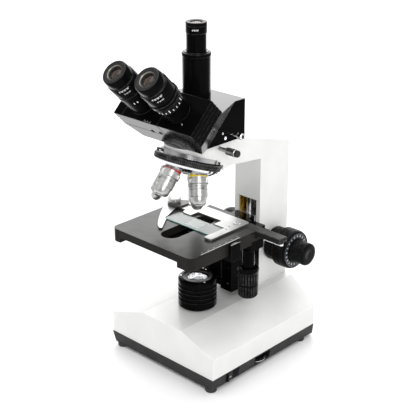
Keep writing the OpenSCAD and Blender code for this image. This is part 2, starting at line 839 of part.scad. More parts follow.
// An eyepiece standing in its tube: w0 is its shoulder, w1 its top above the panel.
module eyepiece(x, w0, w1)
    color(BLACK) panel_frame() translate([x, 0, 0]) difference() {
        turned([[0, w0 - 14], [eyepiece_r, w0 - 14], [eyepiece_r, w0], [16.6, w0], [17.2, w0 + 1],
            [17.2, w0 + 13], [16.4, w0 + 14], [16.4, w1 - 15], [eye_rim_r, w1 - 13.5],
            [eye_rim_r, w1 - 0.8], [eye_rim_r - 0.8, w1], [11.8, w1], [10, w1 - 4],
            [0, w1 - 4]]);
        translate([0, 0, w0 - 15]) cylinder(r = eyepiece_r - 1.6, h = 12);
    }

module left_eyepiece()
    eyepiece(-eye_x, left_shoulder, left_shoulder + 29.3);

module right_eyepiece()
    eyepiece(eye_x, right_shoulder, right_shoulder + 30);

module diopter_ring()
    color(BLACK) panel_frame() translate([eye_x, 0, 0]) difference() {
        union() {
            translate([0, 0, 3]) cylinder(r = 17.6, h = right_shoulder - 4.1);
            translate([0, 0, right_shoulder - 6]) cylinder(r = 18.2, h = 4.9);
        }
        translate([0, 0, 1]) cylinder(r = 14 + fit, h = right_shoulder);
    }

module light_path_rod()
    color(SILVER) {
        rod_x(24, 58, 1.8, rod_y, rod_z);
        rod_x(55, 62, 3.7, rod_y, rod_z);
    }

module head_clamp_screw()
    color(SILVER) {
        rod_x(20, 24, 1.8, clamp_y, clamp_z);
        rod_x(23, 44, 2.5, clamp_y, clamp_z);
        rod_x(42, 56, 4.5, clamp_y, clamp_z);
        rod_x(55, 60, 4.1, clamp_y, clamp_z);
    }

base_cover();
base_pan();
rubber_feet();
base_screws();
arm();
guide_rod();
brass_gib();
shaft_bushes();
lamp_house();
field_lens();
lamp_bulb();
circuit_board();
transformer();
power_inlet();
nosepiece_mount();
power_switch();
dimmer_wheel();
coarse_shaft();
coarse_knob_right();
coarse_knob_left();
tension_collar();
fine_shaft();
fine_knob_right();
fine_knob_left();
focus_carriage();
focus_rack();
focus_bracket();
stage_base();
stage_plate();
drive_block();
stage_y_knob();
stage_x_knob();
carriage_bar();
carriage_rack();
slide_holder();
specimen_slide();
finger_screw();
slide_finger();
condenser_carrier();
condenser_body();
condenser_lens();
condenser_knob();
iris_lever();
filter_holder();
nosepiece_turret();
nosepiece_ring();
objective_4x();
objective_10x();
objective_40x();
objective_100x();
head_body();
photo_tube();
photo_eyepiece();
left_tube_block();
right_tube_block();
left_eyepiece();
right_eyepiece();
diopter_ring();
light_path_rod();
head_clamp_screw();
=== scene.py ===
"""Looks of the trinocular laboratory microscope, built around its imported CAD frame.

Everything is in metres in the CAD's own frame: the origin is on the table under the optical axis,
+X is the user's right, -Y the user's side, +Z up.
"""

import json
import math

import bmesh
import bpy
from mathutils import Matrix, Vector


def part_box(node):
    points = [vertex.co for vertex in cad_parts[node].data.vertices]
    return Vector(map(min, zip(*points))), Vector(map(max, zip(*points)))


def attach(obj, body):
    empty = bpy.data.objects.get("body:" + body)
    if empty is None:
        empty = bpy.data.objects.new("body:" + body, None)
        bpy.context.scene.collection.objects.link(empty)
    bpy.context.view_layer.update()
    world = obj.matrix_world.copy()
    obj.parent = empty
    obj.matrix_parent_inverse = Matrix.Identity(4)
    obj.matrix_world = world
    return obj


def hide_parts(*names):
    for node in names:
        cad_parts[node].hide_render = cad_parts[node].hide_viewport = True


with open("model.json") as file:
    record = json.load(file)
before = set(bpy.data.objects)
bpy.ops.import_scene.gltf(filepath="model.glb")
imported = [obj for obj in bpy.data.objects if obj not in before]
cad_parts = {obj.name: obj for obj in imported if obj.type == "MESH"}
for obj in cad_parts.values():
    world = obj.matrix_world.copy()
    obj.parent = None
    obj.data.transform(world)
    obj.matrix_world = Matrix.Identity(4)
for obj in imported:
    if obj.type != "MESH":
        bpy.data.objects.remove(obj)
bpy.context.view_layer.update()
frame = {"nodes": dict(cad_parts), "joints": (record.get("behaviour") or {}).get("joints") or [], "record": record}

MM = 0.001
NODES = frame["nodes"]
JOINTS = {j["name"]: j for j in frame["joints"]}
BODY = {n: b for b, members in frame["record"]["behaviour"]["bodies"].items() for n in members}


# -------------------- materials


def new_material(name):
    m = bpy.data.materials.new(name)
    m.use_nodes = True
    tree = m.node_tree
    return m, tree, tree.nodes["Principled BSDF"]


def noise(tree, coords, scale, detail=4.0, stretch=None):
    """A noise texture over the piece's own coordinates; stretch squeezes it along X, Y or Z."""
    if stretch:
        mapping = tree.nodes.new("ShaderNodeMapping")
        mapping.inputs["Scale"].default_value = stretch
        tree.links.new(coords, mapping.inputs["Vector"])
        coords = mapping.outputs["Vector"]
    n = tree.nodes.new("ShaderNodeTexNoise")
    n.inputs["Scale"].default_value = scale
    n.inputs["Detail"].default_value = detail
    tree.links.new(coords, n.inputs["Vector"])
    return n.outputs["Fac"]


def remap(tree, value, low, high, start=0.35, end=0.65):
    r = tree.nodes.new("ShaderNodeMapRange")
    for key, v in (("From Min", start), ("From Max", end), ("To Min", low), ("To Max", high)):
        r.inputs[key].default_value = v
    tree.links.new(value, r.inputs["Value"])
    return r.outputs["Result"]


def mix(tree, factor, a, b):
    m = tree.nodes.new("ShaderNodeMix")
    m.data_type = "RGBA"
    tree.links.new(factor, m.inputs["Factor"])
    for socket, v in (("A", a), ("B", b)):
        target = [s for s in m.inputs if s.name == socket and s.type == "RGBA"][0]
        if isinstance(v, tuple):
            target.default_value = (*v, 1.0)
        else:
            tree.links.new(v, target)
    return [s for s in m.outputs if s.type == "RGBA"][0]


EDGES = {}  # a finish's name -> the variant seen along its edges: partly wear, partly painted highlight (painted shade where it is darker)
EDGE_WEAR_AND_LIGHT_BLOTCH = 190.0  # noise scale of the wear and painted highlight along an edge


def finish_material(
    name, color, tint, rough, metallic=0.0, grain=900.0, bump=0.12, depth=0.00008, stretch=None, edge=None,
    coat=0.0, blotch=28.0, specular=0.5, graze=None,
):
    """A finish with a soft colour drift, a patchy roughness and a fine relief.

    edge is the colour painted on the rounded edges of a piece, partly wear and partly painted
    highlight (painted shade where it is darker); it makes a second material that those edges use.
    graze is the specular level seen at a grazing angle.
    """
    m, tree, shader = new_material(name)
    coords = tree.nodes.new("ShaderNodeTexCoord").outputs["Object"]
    drift = remap(tree, noise(tree, coords, blotch, 5.0), 0.0, 1.0)
    colour = mix(tree, drift, color, tint)
    tree.links.new(colour, shader.inputs["Base Color"])
    patches = noise(tree, coords, blotch * 3.1, 6.0)
    tree.links.new(remap(tree, patches, rough[0], rough[1], 0.3, 0.7), shader.inputs["Roughness"])
    shader.inputs["Metallic"].default_value = metallic
    shader.inputs["IOR"].default_value = 1.5
    shader.inputs["Specular IOR Level"].default_value = specular
    if graze is not None:
        facing = tree.nodes.new("ShaderNodeLayerWeight").outputs["Facing"]
        level = remap(tree, facing, specular, graze, 0.5, 0.85)
        tree.links.new(level, shader.inputs["Specular IOR Level"])
    shader.inputs["Coat Weight"].default_value = coat
    shader.inputs["Coat Roughness"].default_value = 0.12
    if bump:
        b = tree.nodes.new("ShaderNodeBump")
        b.inputs["Strength"].default_value = bump
        b.inputs["Distance"].default_value = depth
        tree.links.new(noise(tree, coords, grain, 3.0, stretch), b.inputs["Height"])
        tree.links.new(b.outputs["Normal"], shader.inputs["Normal"])
    if edge:
        edge_wear_and_light = [tuple(c + (e - c) * share for c, e in zip(color, edge)) for share in (0.12, 0.5)]
        EDGES[m.name] = finish_material(
            name + "_rubbed", edge_wear_and_light[0], edge_wear_and_light[1], (rough[0] * 0.9, rough[1]), metallic, grain, bump, depth,
            stretch, None, coat, EDGE_WEAR_AND_LIGHT_BLOTCH, specular, graze,
        )
    return m


def glass_material(name, color, rough=0.02, weight=1.0):
    m, tree, shader = new_material(name)
    coords = tree.nodes.new("ShaderNodeTexCoord").outputs["Object"]
    faint = tuple(c * 0.97 for c in color)
    tree.links.new(mix(tree, noise(tree, coords, 60.0), color, faint), shader.inputs["Base Color"])
    dust = noise(tree, coords, 300.0, 6.0)
    tree.links.new(remap(tree, dust, rough, rough + 0.06, 0.55, 0.8), shader.inputs["Roughness"])
    shader.inputs["Transmission Weight"].default_value = weight
    shader.inputs["IOR"].default_value = 1.5
    return m


RINGS = (0.004, 0.004, 1.0)  # stretches a noise into fine lathe lines about the local Z axis

# Each edge colour below is lighter than its finish and paints the rounded edges as partly worn, partly highlit;
# LUG_GREY's darker edge colour is painted shade.
WHITE = finish_material(
    "white_enamel", (0.77, 0.772, 0.76), (0.73, 0.732, 0.72), (0.3, 0.42),
    grain=1500.0, bump=0.10, depth=0.00006, coat=0.1, edge=(0.88, 0.88, 0.87),
)
PAN = finish_material(
    "black_textured_enamel", (0.012, 0.012, 0.013), (0.02, 0.0195, 0.0195), (0.36, 0.5),
    grain=1300.0, bump=0.4, depth=0.0001, edge=(0.08, 0.08, 0.08), specular=0.2,
)
PAINT = finish_material(
    "black_satin_enamel", (0.0016, 0.0016, 0.0018), (0.003, 0.0029, 0.0028), (0.12, 0.18),
    grain=1600.0, bump=0.04, depth=0.00003, edge=(0.05, 0.05, 0.05), specular=0.015, graze=0.75,
)
STAGE = finish_material(
    "stage_baked_enamel", (0.012, 0.0115, 0.0105), (0.018, 0.017, 0.0155), (0.3, 0.38),
    grain=2200.0, bump=0.16, depth=0.00005, edge=(0.1, 0.095, 0.09), specular=0.05, graze=1.0,
)
BAR = finish_material(
    "grey_anodised_bar", (0.012, 0.0118, 0.0112), (0.02, 0.0195, 0.0185), (0.3, 0.42),
    grain=2400.0, bump=0.25, depth=0.00005, stretch=(0.03, 1.0, 1.0), edge=(0.12, 0.12, 0.12),
    specular=0.06, graze=0.9,
)
PLASTIC = finish_material(
    "black_moulded_plastic", (0.003, 0.003, 0.0033), (0.0055, 0.0055, 0.006), (0.3, 0.42),
    grain=1800.0, bump=0.25, depth=0.00005, edge=(0.05, 0.05, 0.05), specular=0.05, graze=0.4,
)
TURNED_BLACK = finish_material(
    "black_turned_anodised", (0.002, 0.002, 0.0022), (0.004, 0.0038, 0.0038), (0.16, 0.24),
    grain=5200.0, bump=0.08, depth=0.00003, stretch=RINGS, edge=(0.07, 0.07, 0.07),
    specular=0.02, graze=0.5,
)
RUBBER = finish_material(
    "foot_rubber", (0.018, 0.018, 0.018), (0.03, 0.03, 0.029), (0.6, 0.8),
    grain=1500.0, bump=0.5, depth=0.0001,
)
CHROME = finish_material(
    "turned_chrome", (0.78, 0.78, 0.79), (0.72, 0.72, 0.735), (0.08, 0.17), metallic=1.0,
    grain=4200.0, bump=0.12, depth=0.00004, stretch=RINGS, edge=(0.9, 0.9, 0.9),
)
# chrome whose colour is darkened to paint in the dark reflection of the black head above the nosepiece mount
DARK_CHROME = finish_material(
    "worn_dark_chrome", (0.4, 0.4, 0.405), (0.34, 0.34, 0.345), (0.2, 0.3), metallic=1.0,
    grain=4200.0, bump=0.05, depth=0.00004, stretch=RINGS, edge=(0.8, 0.8, 0.8),
)
NICKEL = finish_material(
    "satin_nickel", (0.42, 0.42, 0.41), (0.36, 0.36, 0.355), (0.32, 0.44), metallic=1.0,
    grain=3000.0, bump=0.15, depth=0.00004, stretch=(0.06, 1.0, 1.0), edge=(0.88, 0.88, 0.87),
)
STEEL = finish_material(
    "ground_steel", (0.52, 0.52, 0.53), (0.44, 0.44, 0.455), (0.2, 0.34), metallic=1.0,
    grain=3600.0, bump=0.3, depth=0.00004, stretch=(1.0, 1.0, 0.05),
)
SATIN_CHROME = finish_material(
    "objective_satin_chrome", (0.5, 0.5, 0.49), (0.43, 0.43, 0.425), (0.33, 0.4), metallic=1.0,
    grain=2600.0, bump=0.03, depth=0.00003, stretch=RINGS, edge=(0.8, 0.8, 0.8),
)
FINGER_KNOB = finish_material(
    "finger_knob_nickel", (0.6, 0.6, 0.59), (0.54, 0.54, 0.53), (0.34, 0.44), metallic=0.75,
    grain=2600.0, bump=0.03, depth=0.00003, stretch=RINGS, edge=(0.8, 0.8, 0.8),
)
# its edge colour is a light grey: painted highlight on the crests of the nosepiece knurl, with wear
KNURL_BLACK = finish_material(
    "black_knurled_rim", (0.003, 0.003, 0.003), (0.006, 0.006, 0.006), (0.25, 0.35),
    grain=3000.0, bump=0.05, depth=0.00003, edge=(0.22, 0.22, 0.215), specular=0.05, graze=0.3,
)
# its edge colour is darker than the lug: painted shade along the lug's edges
LUG_GREY = finish_material(
    "grey_blued_lug", (0.09, 0.085, 0.078), (0.13, 0.122, 0.11), (0.28, 0.4), metallic=0.4,
    grain=2400.0, bump=0.2, depth=0.00004, edge=(0.02, 0.02, 0.02),
)
BRASS = finish_material(
    "turned_brass", (0.62, 0.43, 0.13), (0.5, 0.34, 0.1), (0.22, 0.38), metallic=1.0,
    grain=2600.0, bump=0.3, depth=0.00005, stretch=(1.0, 1.0, 0.06),
)
MARKING = finish_material(
    "white_marking_paint", (0.82, 0.83, 0.82), (0.7, 0.71, 0.7), (0.45, 0.6), grain=2000.0, bump=0.2,
)
SILVER_MARK = finish_material(
    "silver_marking_paint", (0.5, 0.53, 0.56), (0.38, 0.41, 0.44), (0.35, 0.5), grain=2000.0, bump=0.2,
)
RIM_GREY = finish_material(
    "eyepiece_rim_grey", (0.007, 0.007, 0.0068), (0.011, 0.0108, 0.0102), (0.3, 0.42),
    grain=3000.0, bump=0.2, depth=0.00004, stretch=RINGS, specular=0.3,
)
BRIGHT_RING = finish_material(
    "eyepiece_bright_ring", (0.2, 0.19, 0.16), (0.3, 0.285, 0.24), (0.35, 0.5),
    metallic=0.5, grain=2500.0, bump=0.2,
)
# Flat black for black parts, engravings and joint lines; in the dimples, the screw holes under the head and the
# dimmer's window it is painted shade.
DARK = finish_material(
    "recess_black", (0.004, 0.004, 0.004), (0.008, 0.008, 0.008), (0.6, 0.8), grain=900.0, bump=0.2,
)


def band_paint(name, color, tint):
    """The lacquer of an objective's colour band."""
    return finish_material(name, color, tint, (0.3, 0.42), grain=1800.0, bump=0.15, coat=0.3)


RED = band_paint("red_band", (0.62, 0.02, 0.03), (0.5, 0.012, 0.02))
YELLOW = band_paint("yellow_band", (0.9, 0.7, 0.015), (0.8, 0.6, 0.015))
BLUE = band_paint("blue_band", (0.02, 0.16, 0.55), (0.015, 0.12, 0.45))
WHITE_BAND = band_paint("white_band", (0.85, 0.85, 0.84), (0.78, 0.78, 0.77))
PCB = finish_material(
    "board_green", (0.01, 0.1, 0.035), (0.015, 0.14, 0.05), (0.3, 0.45), grain=700.0, bump=0.3,
)
IRON = finish_material(
    "laminated_iron", (0.1, 0.09, 0.085), (0.14, 0.12, 0.11), (0.5, 0.65), metallic=0.6,
    grain=1600.0, bump=0.6, depth=0.0001, stretch=(1.0, 0.04, 0.04),
)
CERAMIC = finish_material(
    "lamp_ceramic", (0.8, 0.77, 0.7), (0.72, 0.69, 0.62), (0.25, 0.4), grain=1000.0, bump=0.2,
)
LENS = glass_material("lens_glass", (0.93, 0.95, 0.97))
AMBER_LENS = glass_material("coated_lens", (0.5, 0.34, 0.26), 0.03)
SLIDE_GLASS = glass_material("slide_glass", (0.42, 0.46, 0.44), 0.16, weight=0.5)
COVER_GLASS = glass_material("cover_slip_glass", (0.6, 0.66, 0.64), 0.1, weight=0.7)
SLIDE_EDGE = glass_material("slide_glass_edge", (0.30, 0.78, 0.66), 0.12, weight=0.55)
FROSTED = glass_material("frosted_label_glass", (0.55, 0.57, 0.56), 0.5, weight=0.35)
FILTER_BLUE = glass_material("blue_filter_glass", (0.25, 0.45, 0.9), 0.03)


def mirror_material():
    """The bright reflector bowl around the lamp's lens."""
    m, tree, shader = new_material("lamp_reflector")
    coords = tree.nodes.new("ShaderNodeTexCoord").outputs["Object"]
    patches = noise(tree, coords, 180.0, 4.0)
    tree.links.new(mix(tree, patches, (0.88, 0.88, 0.87), (0.7, 0.7, 0.69)), shader.inputs["Base Color"])
    tree.links.new(remap(tree, patches, 0.1, 0.3), shader.inputs["Roughness"])
    shader.inputs["Metallic"].default_value = 1.0
    return m


REFLECTOR = mirror_material()


def specimen_material():
    """A thin stained section under the cover slip: soft cells inside a round edge."""
    m, tree, shader = new_material("stained_specimen")
    coords = tree.nodes.new("ShaderNodeTexCoord").outputs["Object"]
    cells = tree.nodes.new("ShaderNodeTexVoronoi")
    cells.inputs["Scale"].default_value = 900.0
    tree.links.new(coords, cells.inputs["Vector"])
    tree.links.new(
        mix(tree, cells.outputs["Distance"], (0.25, 0.6, 0.5), (0.55, 0.8, 0.72)), shader.inputs["Base Color"]
    )
    tree.links.new(remap(tree, noise(tree, coords, 400.0), 0.3, 0.5), shader.inputs["Roughness"])
    return m


SPECIMEN = specimen_material()


# -------------------- mesh helpers


def to_object(bm, name, materials, matrix=None, smooth=38.0):
    mesh = bpy.data.meshes.new(name)
    bmesh.ops.recalc_face_normals(bm, faces=bm.faces)
    bm.to_mesh(mesh)
    bm.free()
    obj = bpy.data.objects.new(name, mesh)
    bpy.context.scene.collection.objects.link(obj)
    for m in materials if isinstance(materials, (list, tuple)) else [materials]:
        mesh.materials.append(m)
    mesh.shade_smooth()
    mesh.set_sharp_from_angle(angle=math.radians(smooth))
    if matrix is not None:
        obj.matrix_world = matrix
    return obj


SHARP_ANGLE = 30.0  # faces that meet at more than this, in degrees, get a rounded edge


def bevel(obj, width, segments=2):
    mod = obj.modifiers.new("edges", "BEVEL")
    mod.width = width
    mod.segments = segments
    mod.limit_method = "ANGLE"
    mod.angle_limit = math.radians(SHARP_ANGLE)
    mod.use_clamp_overlap = True
    normals = obj.modifiers.new("normals", "WEIGHTED_NORMAL")
    normals.keep_sharp = True
    return obj


def rides_for(obj, node, replace=True):
    """obj takes the place of a CAD node, or sits on it, and moves with its body."""
    if replace:
        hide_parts(node)
    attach(obj, BODY[node])
    return obj


def softened(node, width, material, segments=2, keep=None, part="shell"):
    """The CAD node with its flat faces merged and its edges rounded; keep picks faces by their middle."""
    bm = bmesh.new()
    bm.from_mesh(NODES[node].data)
    if keep:
        others = [f for f in bm.faces if not keep(f.calc_center_median())]
        bmesh.ops.delete(bm, geom=others, context="FACES")
    bmesh.ops.remove_doubles(bm, verts=bm.verts, dist=2e-6)
    bmesh.ops.dissolve_limit(
        bm, angle_limit=math.radians(0.6), use_dissolve_boundaries=False, verts=bm.verts, edges=bm.edges
    )
    for f in bm.faces:
        f.material_index = 0
    obj = to_object(bm, f"{node}_{part}", [material, EDGES.get(material.name, material)], smooth=SHARP_ANGLE)
    # the rounded edges get the edge variant: partly wear, partly painted highlight
    bevel(obj, width, segments).modifiers["edges"].material = 1
    return rides_for(obj, node)


def repaint(node, material):
    """Gives a CAD node that keeps its own shape its finish."""
    data = NODES[node].data
    for i in range(len(data.materials)):
        data.materials[i] = material
    if not data.materials:
        data.materials.append(material)


def axis_frame(origin, z_axis, x_hint=(1.0, 0.0, 0.0)):
    """A frame at origin with local Z along z_axis."""
    z = Vector(z_axis).normalized()
    x = Vector(x_hint) - z * Vector(x_hint).dot(z)
    if x.length < 1e-6:
        x = Vector((0.0, 1.0, 0.0)) - z * z.y
    x.normalize()
    y = z.cross(x)
    return Matrix.Translation(Vector(origin)) @ Matrix((x, y, z)).transposed().to_4x4()


def spin(degrees, axis="Z"):
    """A turn about a local axis."""
    return Matrix.Rotation(math.radians(degrees), 4, axis)


def lathe(name, points, materials, matrix, segments=96, ribs=0, rib_depth=0.0004, duty=0.5, paint=None):
    """Turns points (radius, height[, ribbed]) in millimetres about the local Z axis.

    A ribbed point is cut in by rib_depth between the ribs. paint maps a point's index to the
    material of the band that starts there; other bands narrower than a millimetre, and the crests of
    the ribs, take the edge variant: partly wear, partly painted highlight.
    """
    if not isinstance(materials, (list, tuple)):
        materials = [materials]
    materials = [*materials, EDGES.get(materials[0].name, materials[0])]
    count = ribs * 4 if ribs else segments
    bm = bmesh.new()
    rows = []
    for p in points:
        r, z = p[0] * MM, p[1] * MM
        if r < 1e-7:
            rows.append([bm.verts.new((0.0, 0.0, z))])
            continue
        ring = []
        for i in range(count):
            a = 2.0 * math.pi * i / count
            if ribs:
                a = 2.0 * math.pi * (i // 4 + (0.0, duty * 0.8, duty, 0.9)[i % 4]) / ribs
            in_valley = ribs and len(p) > 2 and i % 4 in (2, 3)
            rr = r - rib_depth if in_valley else r
            ring.append(bm.verts.new((rr * math.cos(a), rr * math.sin(a), z)))
        rows.append(ring)
    for k in range(len(rows) - 1):
        a, b = rows[k], rows[k + 1]
        narrow = math.dist(points[k][:2], points[k + 1][:2]) < 1.0
        index = (paint or {}).get(k, len(materials) - 1 if narrow else 0)
        ribbed = len(points[k]) > 2 and len(points[k + 1]) > 2
        for i in range(count):
            j = (i + 1) % count
            if len(a) == 1 and len(b) == 1:
                continue
            if len(a) == 1:
                f = bm.faces.new((a[0], b[j], b[i]))
            elif len(b) == 1:
                f = bm.faces.new((a[i], a[j], b[0]))
            else:
                f = bm.faces.new((a[i], a[j], b[j], b[i]))
            # rib crests take the edge variant: painted highlight along the ribs, with wear
            worn_and_lit_crest = ribbed and i % 4 == 0 and not index
            f.material_index = len(materials) - 1 if worn_and_lit_crest else index
    return to_object(bm, name, materials, matrix)


def turned(node, points, materials, matrix, made="turned", **shape):
    """A lathe piece that takes the place of a CAD node."""
    return rides_for(lathe(f"{node}_{made}", points, materials, matrix, **shape), node)


def circle(bm, radius, z, count):
    """A ring of vertices around the local Z axis, in millimetres."""
    turns = [2 * math.pi * i / count for i in range(count)]
    return [bm.verts.new((radius * MM * math.cos(t), radius * MM * math.sin(t), z * MM)) for t in turns]


def bridge(bm, a, b):
    """Faces between two rings of as many vertices."""
    n = len(a)
    for i in range(n):
        bm.faces.new((a[i], a[(i + 1) % n], b[(i + 1) % n], b[i]))


def ring_bands(name, radius, bands, material, matrix):
    """Thin painted bands (z0, z1) in millimetres around a turned part."""
    bm = bmesh.new()
    for z0, z1 in bands:
        corners = ((radius - 0.3, z0), (radius, z0), (radius, z1), (radius - 0.3, z1))
        rows = [circle(bm, r, z, 96) for r, z in corners]
        for a, b in zip(rows, rows[1:] + rows[:1]):
            bridge(bm, a, b)
    return to_object(bm, name, material, matrix)


def add_box(bm, low, high, turn=None, chamfer=0.0):
    """A box, in millimetres, with chamfered upright edges if asked, turned by a matrix."""
    x0, y0, z0 = (v * MM for v in low)
    x1, y1, z1 = (v * MM for v in high)
    c = chamfer * MM
    outline = [(x0, y0), (x1, y0), (x1, y1), (x0, y1)]
    if c:
        outline = [
            (x0 + c, y0), (x1 - c, y0), (x1, y0 + c), (x1, y1 - c),
            (x1 - c, y1), (x0 + c, y1), (x0, y1 - c), (x0, y0 + c),
        ]
    bottom = [bm.verts.new((x, y, z0)) for x, y in outline]
    top = [bm.verts.new((x, y, z1)) for x, y in outline]
    bm.faces.new(bottom[::-1])
    bm.faces.new(top)
    bridge(bm, bottom, top)
    if turn is not None:
        bmesh.ops.transform(bm, matrix=turn, verts=bottom + top)


def radial_ticks(name, r0, r1, count, width, z0, z1, matrix, long_every=5):
    """Dial marks lying on a face, from r1 inwards; every long_every-th one reaches r0."""
    bm = bmesh.new()
    for i in range(count):
        inner = r0 if i % long_every == 0 else r1 - (r1 - r0) * 0.6
        add_box(bm, (inner, -width / 2, z0), (r1, width / 2, z1), spin(360.0 * i / count))
    return to_object(bm, name, SILVER_MARK, matrix)


def barrel_ticks(name, radius, z0, z1, count, width, matrix, long_every, arc):
    """Marks along a barrel's side, standing a hair proud of it."""
    bm = bmesh.new()
    for i in range(count):
        turn = spin(arc[0] + (arc[1] - arc[0]) * i / (count - 1))
        top = z1 if i % long_every == 0 else z0 + (z1 - z0) * 0.55
        add_box(bm, (radius - 0.2, -width / 2, z0), (radius + 0.06, width / 2, top), turn)
    return to_object(bm, name, MARKING, matrix)


def strokes(name, radius, z, tall, count, middle, matrix, wide=0.55, step=1.15):
    """A row of short white strokes around a barrel, in place of an inscription; z is its middle."""
    bm = bmesh.new()
    for k in range(count):
        angle = math.degrees((k - (count - 1) / 2) * step / radius) + middle
        turn = spin(angle)
        full = k % 3 != 1
        low, high = (z - tall / 2, z + tall / 2) if full else (z + tall * 0.1, z + tall / 2)
        add_box(bm, (radius - 0.1, -wide / 2, low), (radius + 0.05, wide / 2, high), turn)
        if k % 3 == 0:
            add_box(bm, (radius - 0.1, -step, z - 0.2), (radius + 0.05, 0.0, z + 0.2), turn)
    return to_object(bm, name, MARKING, matrix)


def screw_head(name, matrix, radius, height, material, body):
    """A socket-head screw end, seen from outside along local +Z."""
    bm = bmesh.new()
    socket = radius * 0.45
    rim = [(radius * 0.82, height), (radius, height * 0.75), (radius, -0.6)]
    rows = [circle(bm, r, z, 24) for r, z in [(socket, height - 0.5), (socket, height), *rim]]
    for row in rows[:2]:
        for i, v in enumerate(row):
            a = 2 * math.pi * i / 24
            flat = math.cos(math.pi / 6) / math.cos((a % (math.pi / 3)) - math.pi / 6)
            v.co.x *= flat
            v.co.y *= flat
    for a, b in zip(rows, rows[1:]):
        bridge(bm, a, b)
    bm.faces.new(rows[0][::-1])
    bm.faces.new(rows[-1])
    obj = to_object(bm, name, material, matrix)
    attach(obj, body)
    return obj


def on(obj, node):
    """A detail that sits on a CAD node and goes with its body."""
    return rides_for(obj, node, replace=False)


def centre(node):
    """The middle of a node's box."""
    low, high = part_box(node)
    return (low + high) / 2


KEPT_SHAPES = {
    STEEL: ("base_screws", "guide_rod", "coarse_shaft", "fine_shaft", "focus_rack"),
    BRASS: ("brass_gib", "shaft_bushes"),
    LENS: ("field_lens", "condenser_lens"),
    PCB: ("circuit_board",),
    IRON: ("transformer",),
    CERAMIC: ("lamp_bulb",),
}
for material, nodes in KEPT_SHAPES.items():
    for node in nodes:
        repaint(node, material)

# -------------------- base and arm

softened("base_cover", 4.0 * MM, WHITE, segments=5)
softened("base_pan", 1.6 * MM, PAN, segments=3)
softened("rubber_feet", 0.7 * MM, RUBBER)
softened("arm", 1.6 * MM, WHITE, segments=3)
softened("power_inlet", 0.5 * MM, PLASTIC)
softened("power_switch", 0.8 * MM, PLASTIC, segments=3)
softened("dimmer_wheel", 0.3 * MM, PLASTIC)
wheel_low, wheel_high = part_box("dimmer_wheel")
wheel_pos = JOINTS["lamp_dimmer"]["pos_m"]
wheel_r = (wheel_high.y - wheel_low.y) / 2 / MM
wheel_foot = wheel_low.z / MM
wheel_rim = lathe(
    "dimmer_bright_rim",
    [
        (wheel_r - 1.2, wheel_foot + 0.1), (wheel_r + 0.02, wheel_foot + 0.15),
        (wheel_r + 0.05, wheel_foot + 0.9), (wheel_r - 0.3, wheel_foot + 1.1),
        (wheel_r - 1.2, wheel_foot + 1.1), (wheel_r - 1.2, wheel_foot + 0.1),
    ],
    CHROME, axis_frame((wheel_pos[0], wheel_pos[1], 0), (0, 0, 1)),
)
on(wheel_rim, "dimmer_wheel")
window_shade = bmesh.new()  # a dark wall behind the wheel's window in the pan: painted shade inside the base
window_shade_x, window_shade_y = wheel_pos[0] / MM + 7.0, wheel_pos[1] / MM
window_shade_low, window_shade_high = wheel_foot + 4.8, wheel_foot + 10.2
add_box(window_shade, (window_shade_x, window_shade_y - 14.5, window_shade_low), (window_shade_x + 0.6, window_shade_y + 14.5, window_shade_high))
on(to_object(window_shade, "dimmer_window_liner", DARK), "base_pan")

switch_matrix = axis_frame(JOINTS["power_switch"]["pos_m"], (0, 0, 1)) @ spin(6)
marks = bmesh.new()
add_box(marks, (3.35, -7.6, -0.6), (3.95, -4.4, 0.6))
on(to_object(marks, "switch_on_mark", SILVER_MARK, switch_matrix), "power_switch")

# lamp house
house_low, house_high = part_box("lamp_house")
house_top = house_high.z / MM
lamp_foot = house_low.z / MM
lamp_wall = (house_high.x - house_low.x) / 2 / MM
lamp_profile = [
    (12.0, lamp_foot), (20.0, lamp_foot), (20.0, lamp_foot + 2.2), (lamp_wall - 0.6, lamp_foot + 2.2),
    (lamp_wall, lamp_foot + 2.9),
]
for groove in reversed(range(4)):
    groove_z = house_top - 8.8 - 5.8 * groove
    lamp_profile += [
        (lamp_wall, groove_z - 1.7), (lamp_wall - 0.5, groove_z - 1.2), (lamp_wall - 1.9, groove_z - 1.1),
        (lamp_wall - 1.9, groove_z + 1.1), (lamp_wall - 0.5, groove_z + 1.2), (lamp_wall, groove_z + 1.7),
    ]
lamp_profile += [
    (lamp_wall, house_top - 2.2), (lamp_wall - 0.5, house_top - 0.9), (lamp_wall - 1.7, house_top),
    (13.4, house_top), (13.2, house_top - 0.5), (13.2, house_top - 1.5), (12.0, house_top - 2.0),
    (12.0, lamp_foot),
]
UP = axis_frame((0, 0, 0), (0, 0, 1))  # the optical axis
turned("lamp_house", lamp_profile, TURNED_BLACK, UP, segments=128)
lamp_axis = axis_frame((0, 0, house_high.z), (0, 0, 1))
bowl = lathe(
    "lamp_reflector_ring",
    [(12.6, 0.05), (17.6, 0.25), (18.6, 0.75), (18.9, 0.75), (18.9, 0.02), (12.6, 0.02), (12.6, 0.05)],
    TURNED_BLACK, lamp_axis,
)
on(bowl, "lamp_house")
reflector = lathe(
    "lamp_reflector_bowl",
    [(11.3, -6.0), (11.3, -4.1), (8.0, -9.0), (5.0, -13.0), (5.0, -14.0), (11.3, -14.0), (11.3, -6.0)],
    REFLECTOR, lamp_axis,
)
on(reflector, "lamp_house")
for k, angle in enumerate((-20, 100, 220)):
    m = lamp_axis @ spin(angle) @ Matrix.Translation((20.5 * MM, 0, 0))
    screw_head(f"lamp_ring_screw_{k + 1}", m, 1.5, 0.55, CHROME, "base")

# -------------------- focus drive

focus = centre("fine_shaft")
RIGHT = axis_frame(focus, (1, 0, 0), (0, 0, 1))
LEFT = axis_frame(focus, (-1, 0, 0), (0, 0, 1))


def reach(node):
    """The nearest and furthest |x| of a node turned about X, and its radius, in millimetres."""
    low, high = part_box(node)
    inner, outer = sorted((abs(low.x), abs(high.x)))
    return inner / MM, outer / MM, (high.y - low.y) / 2 / MM


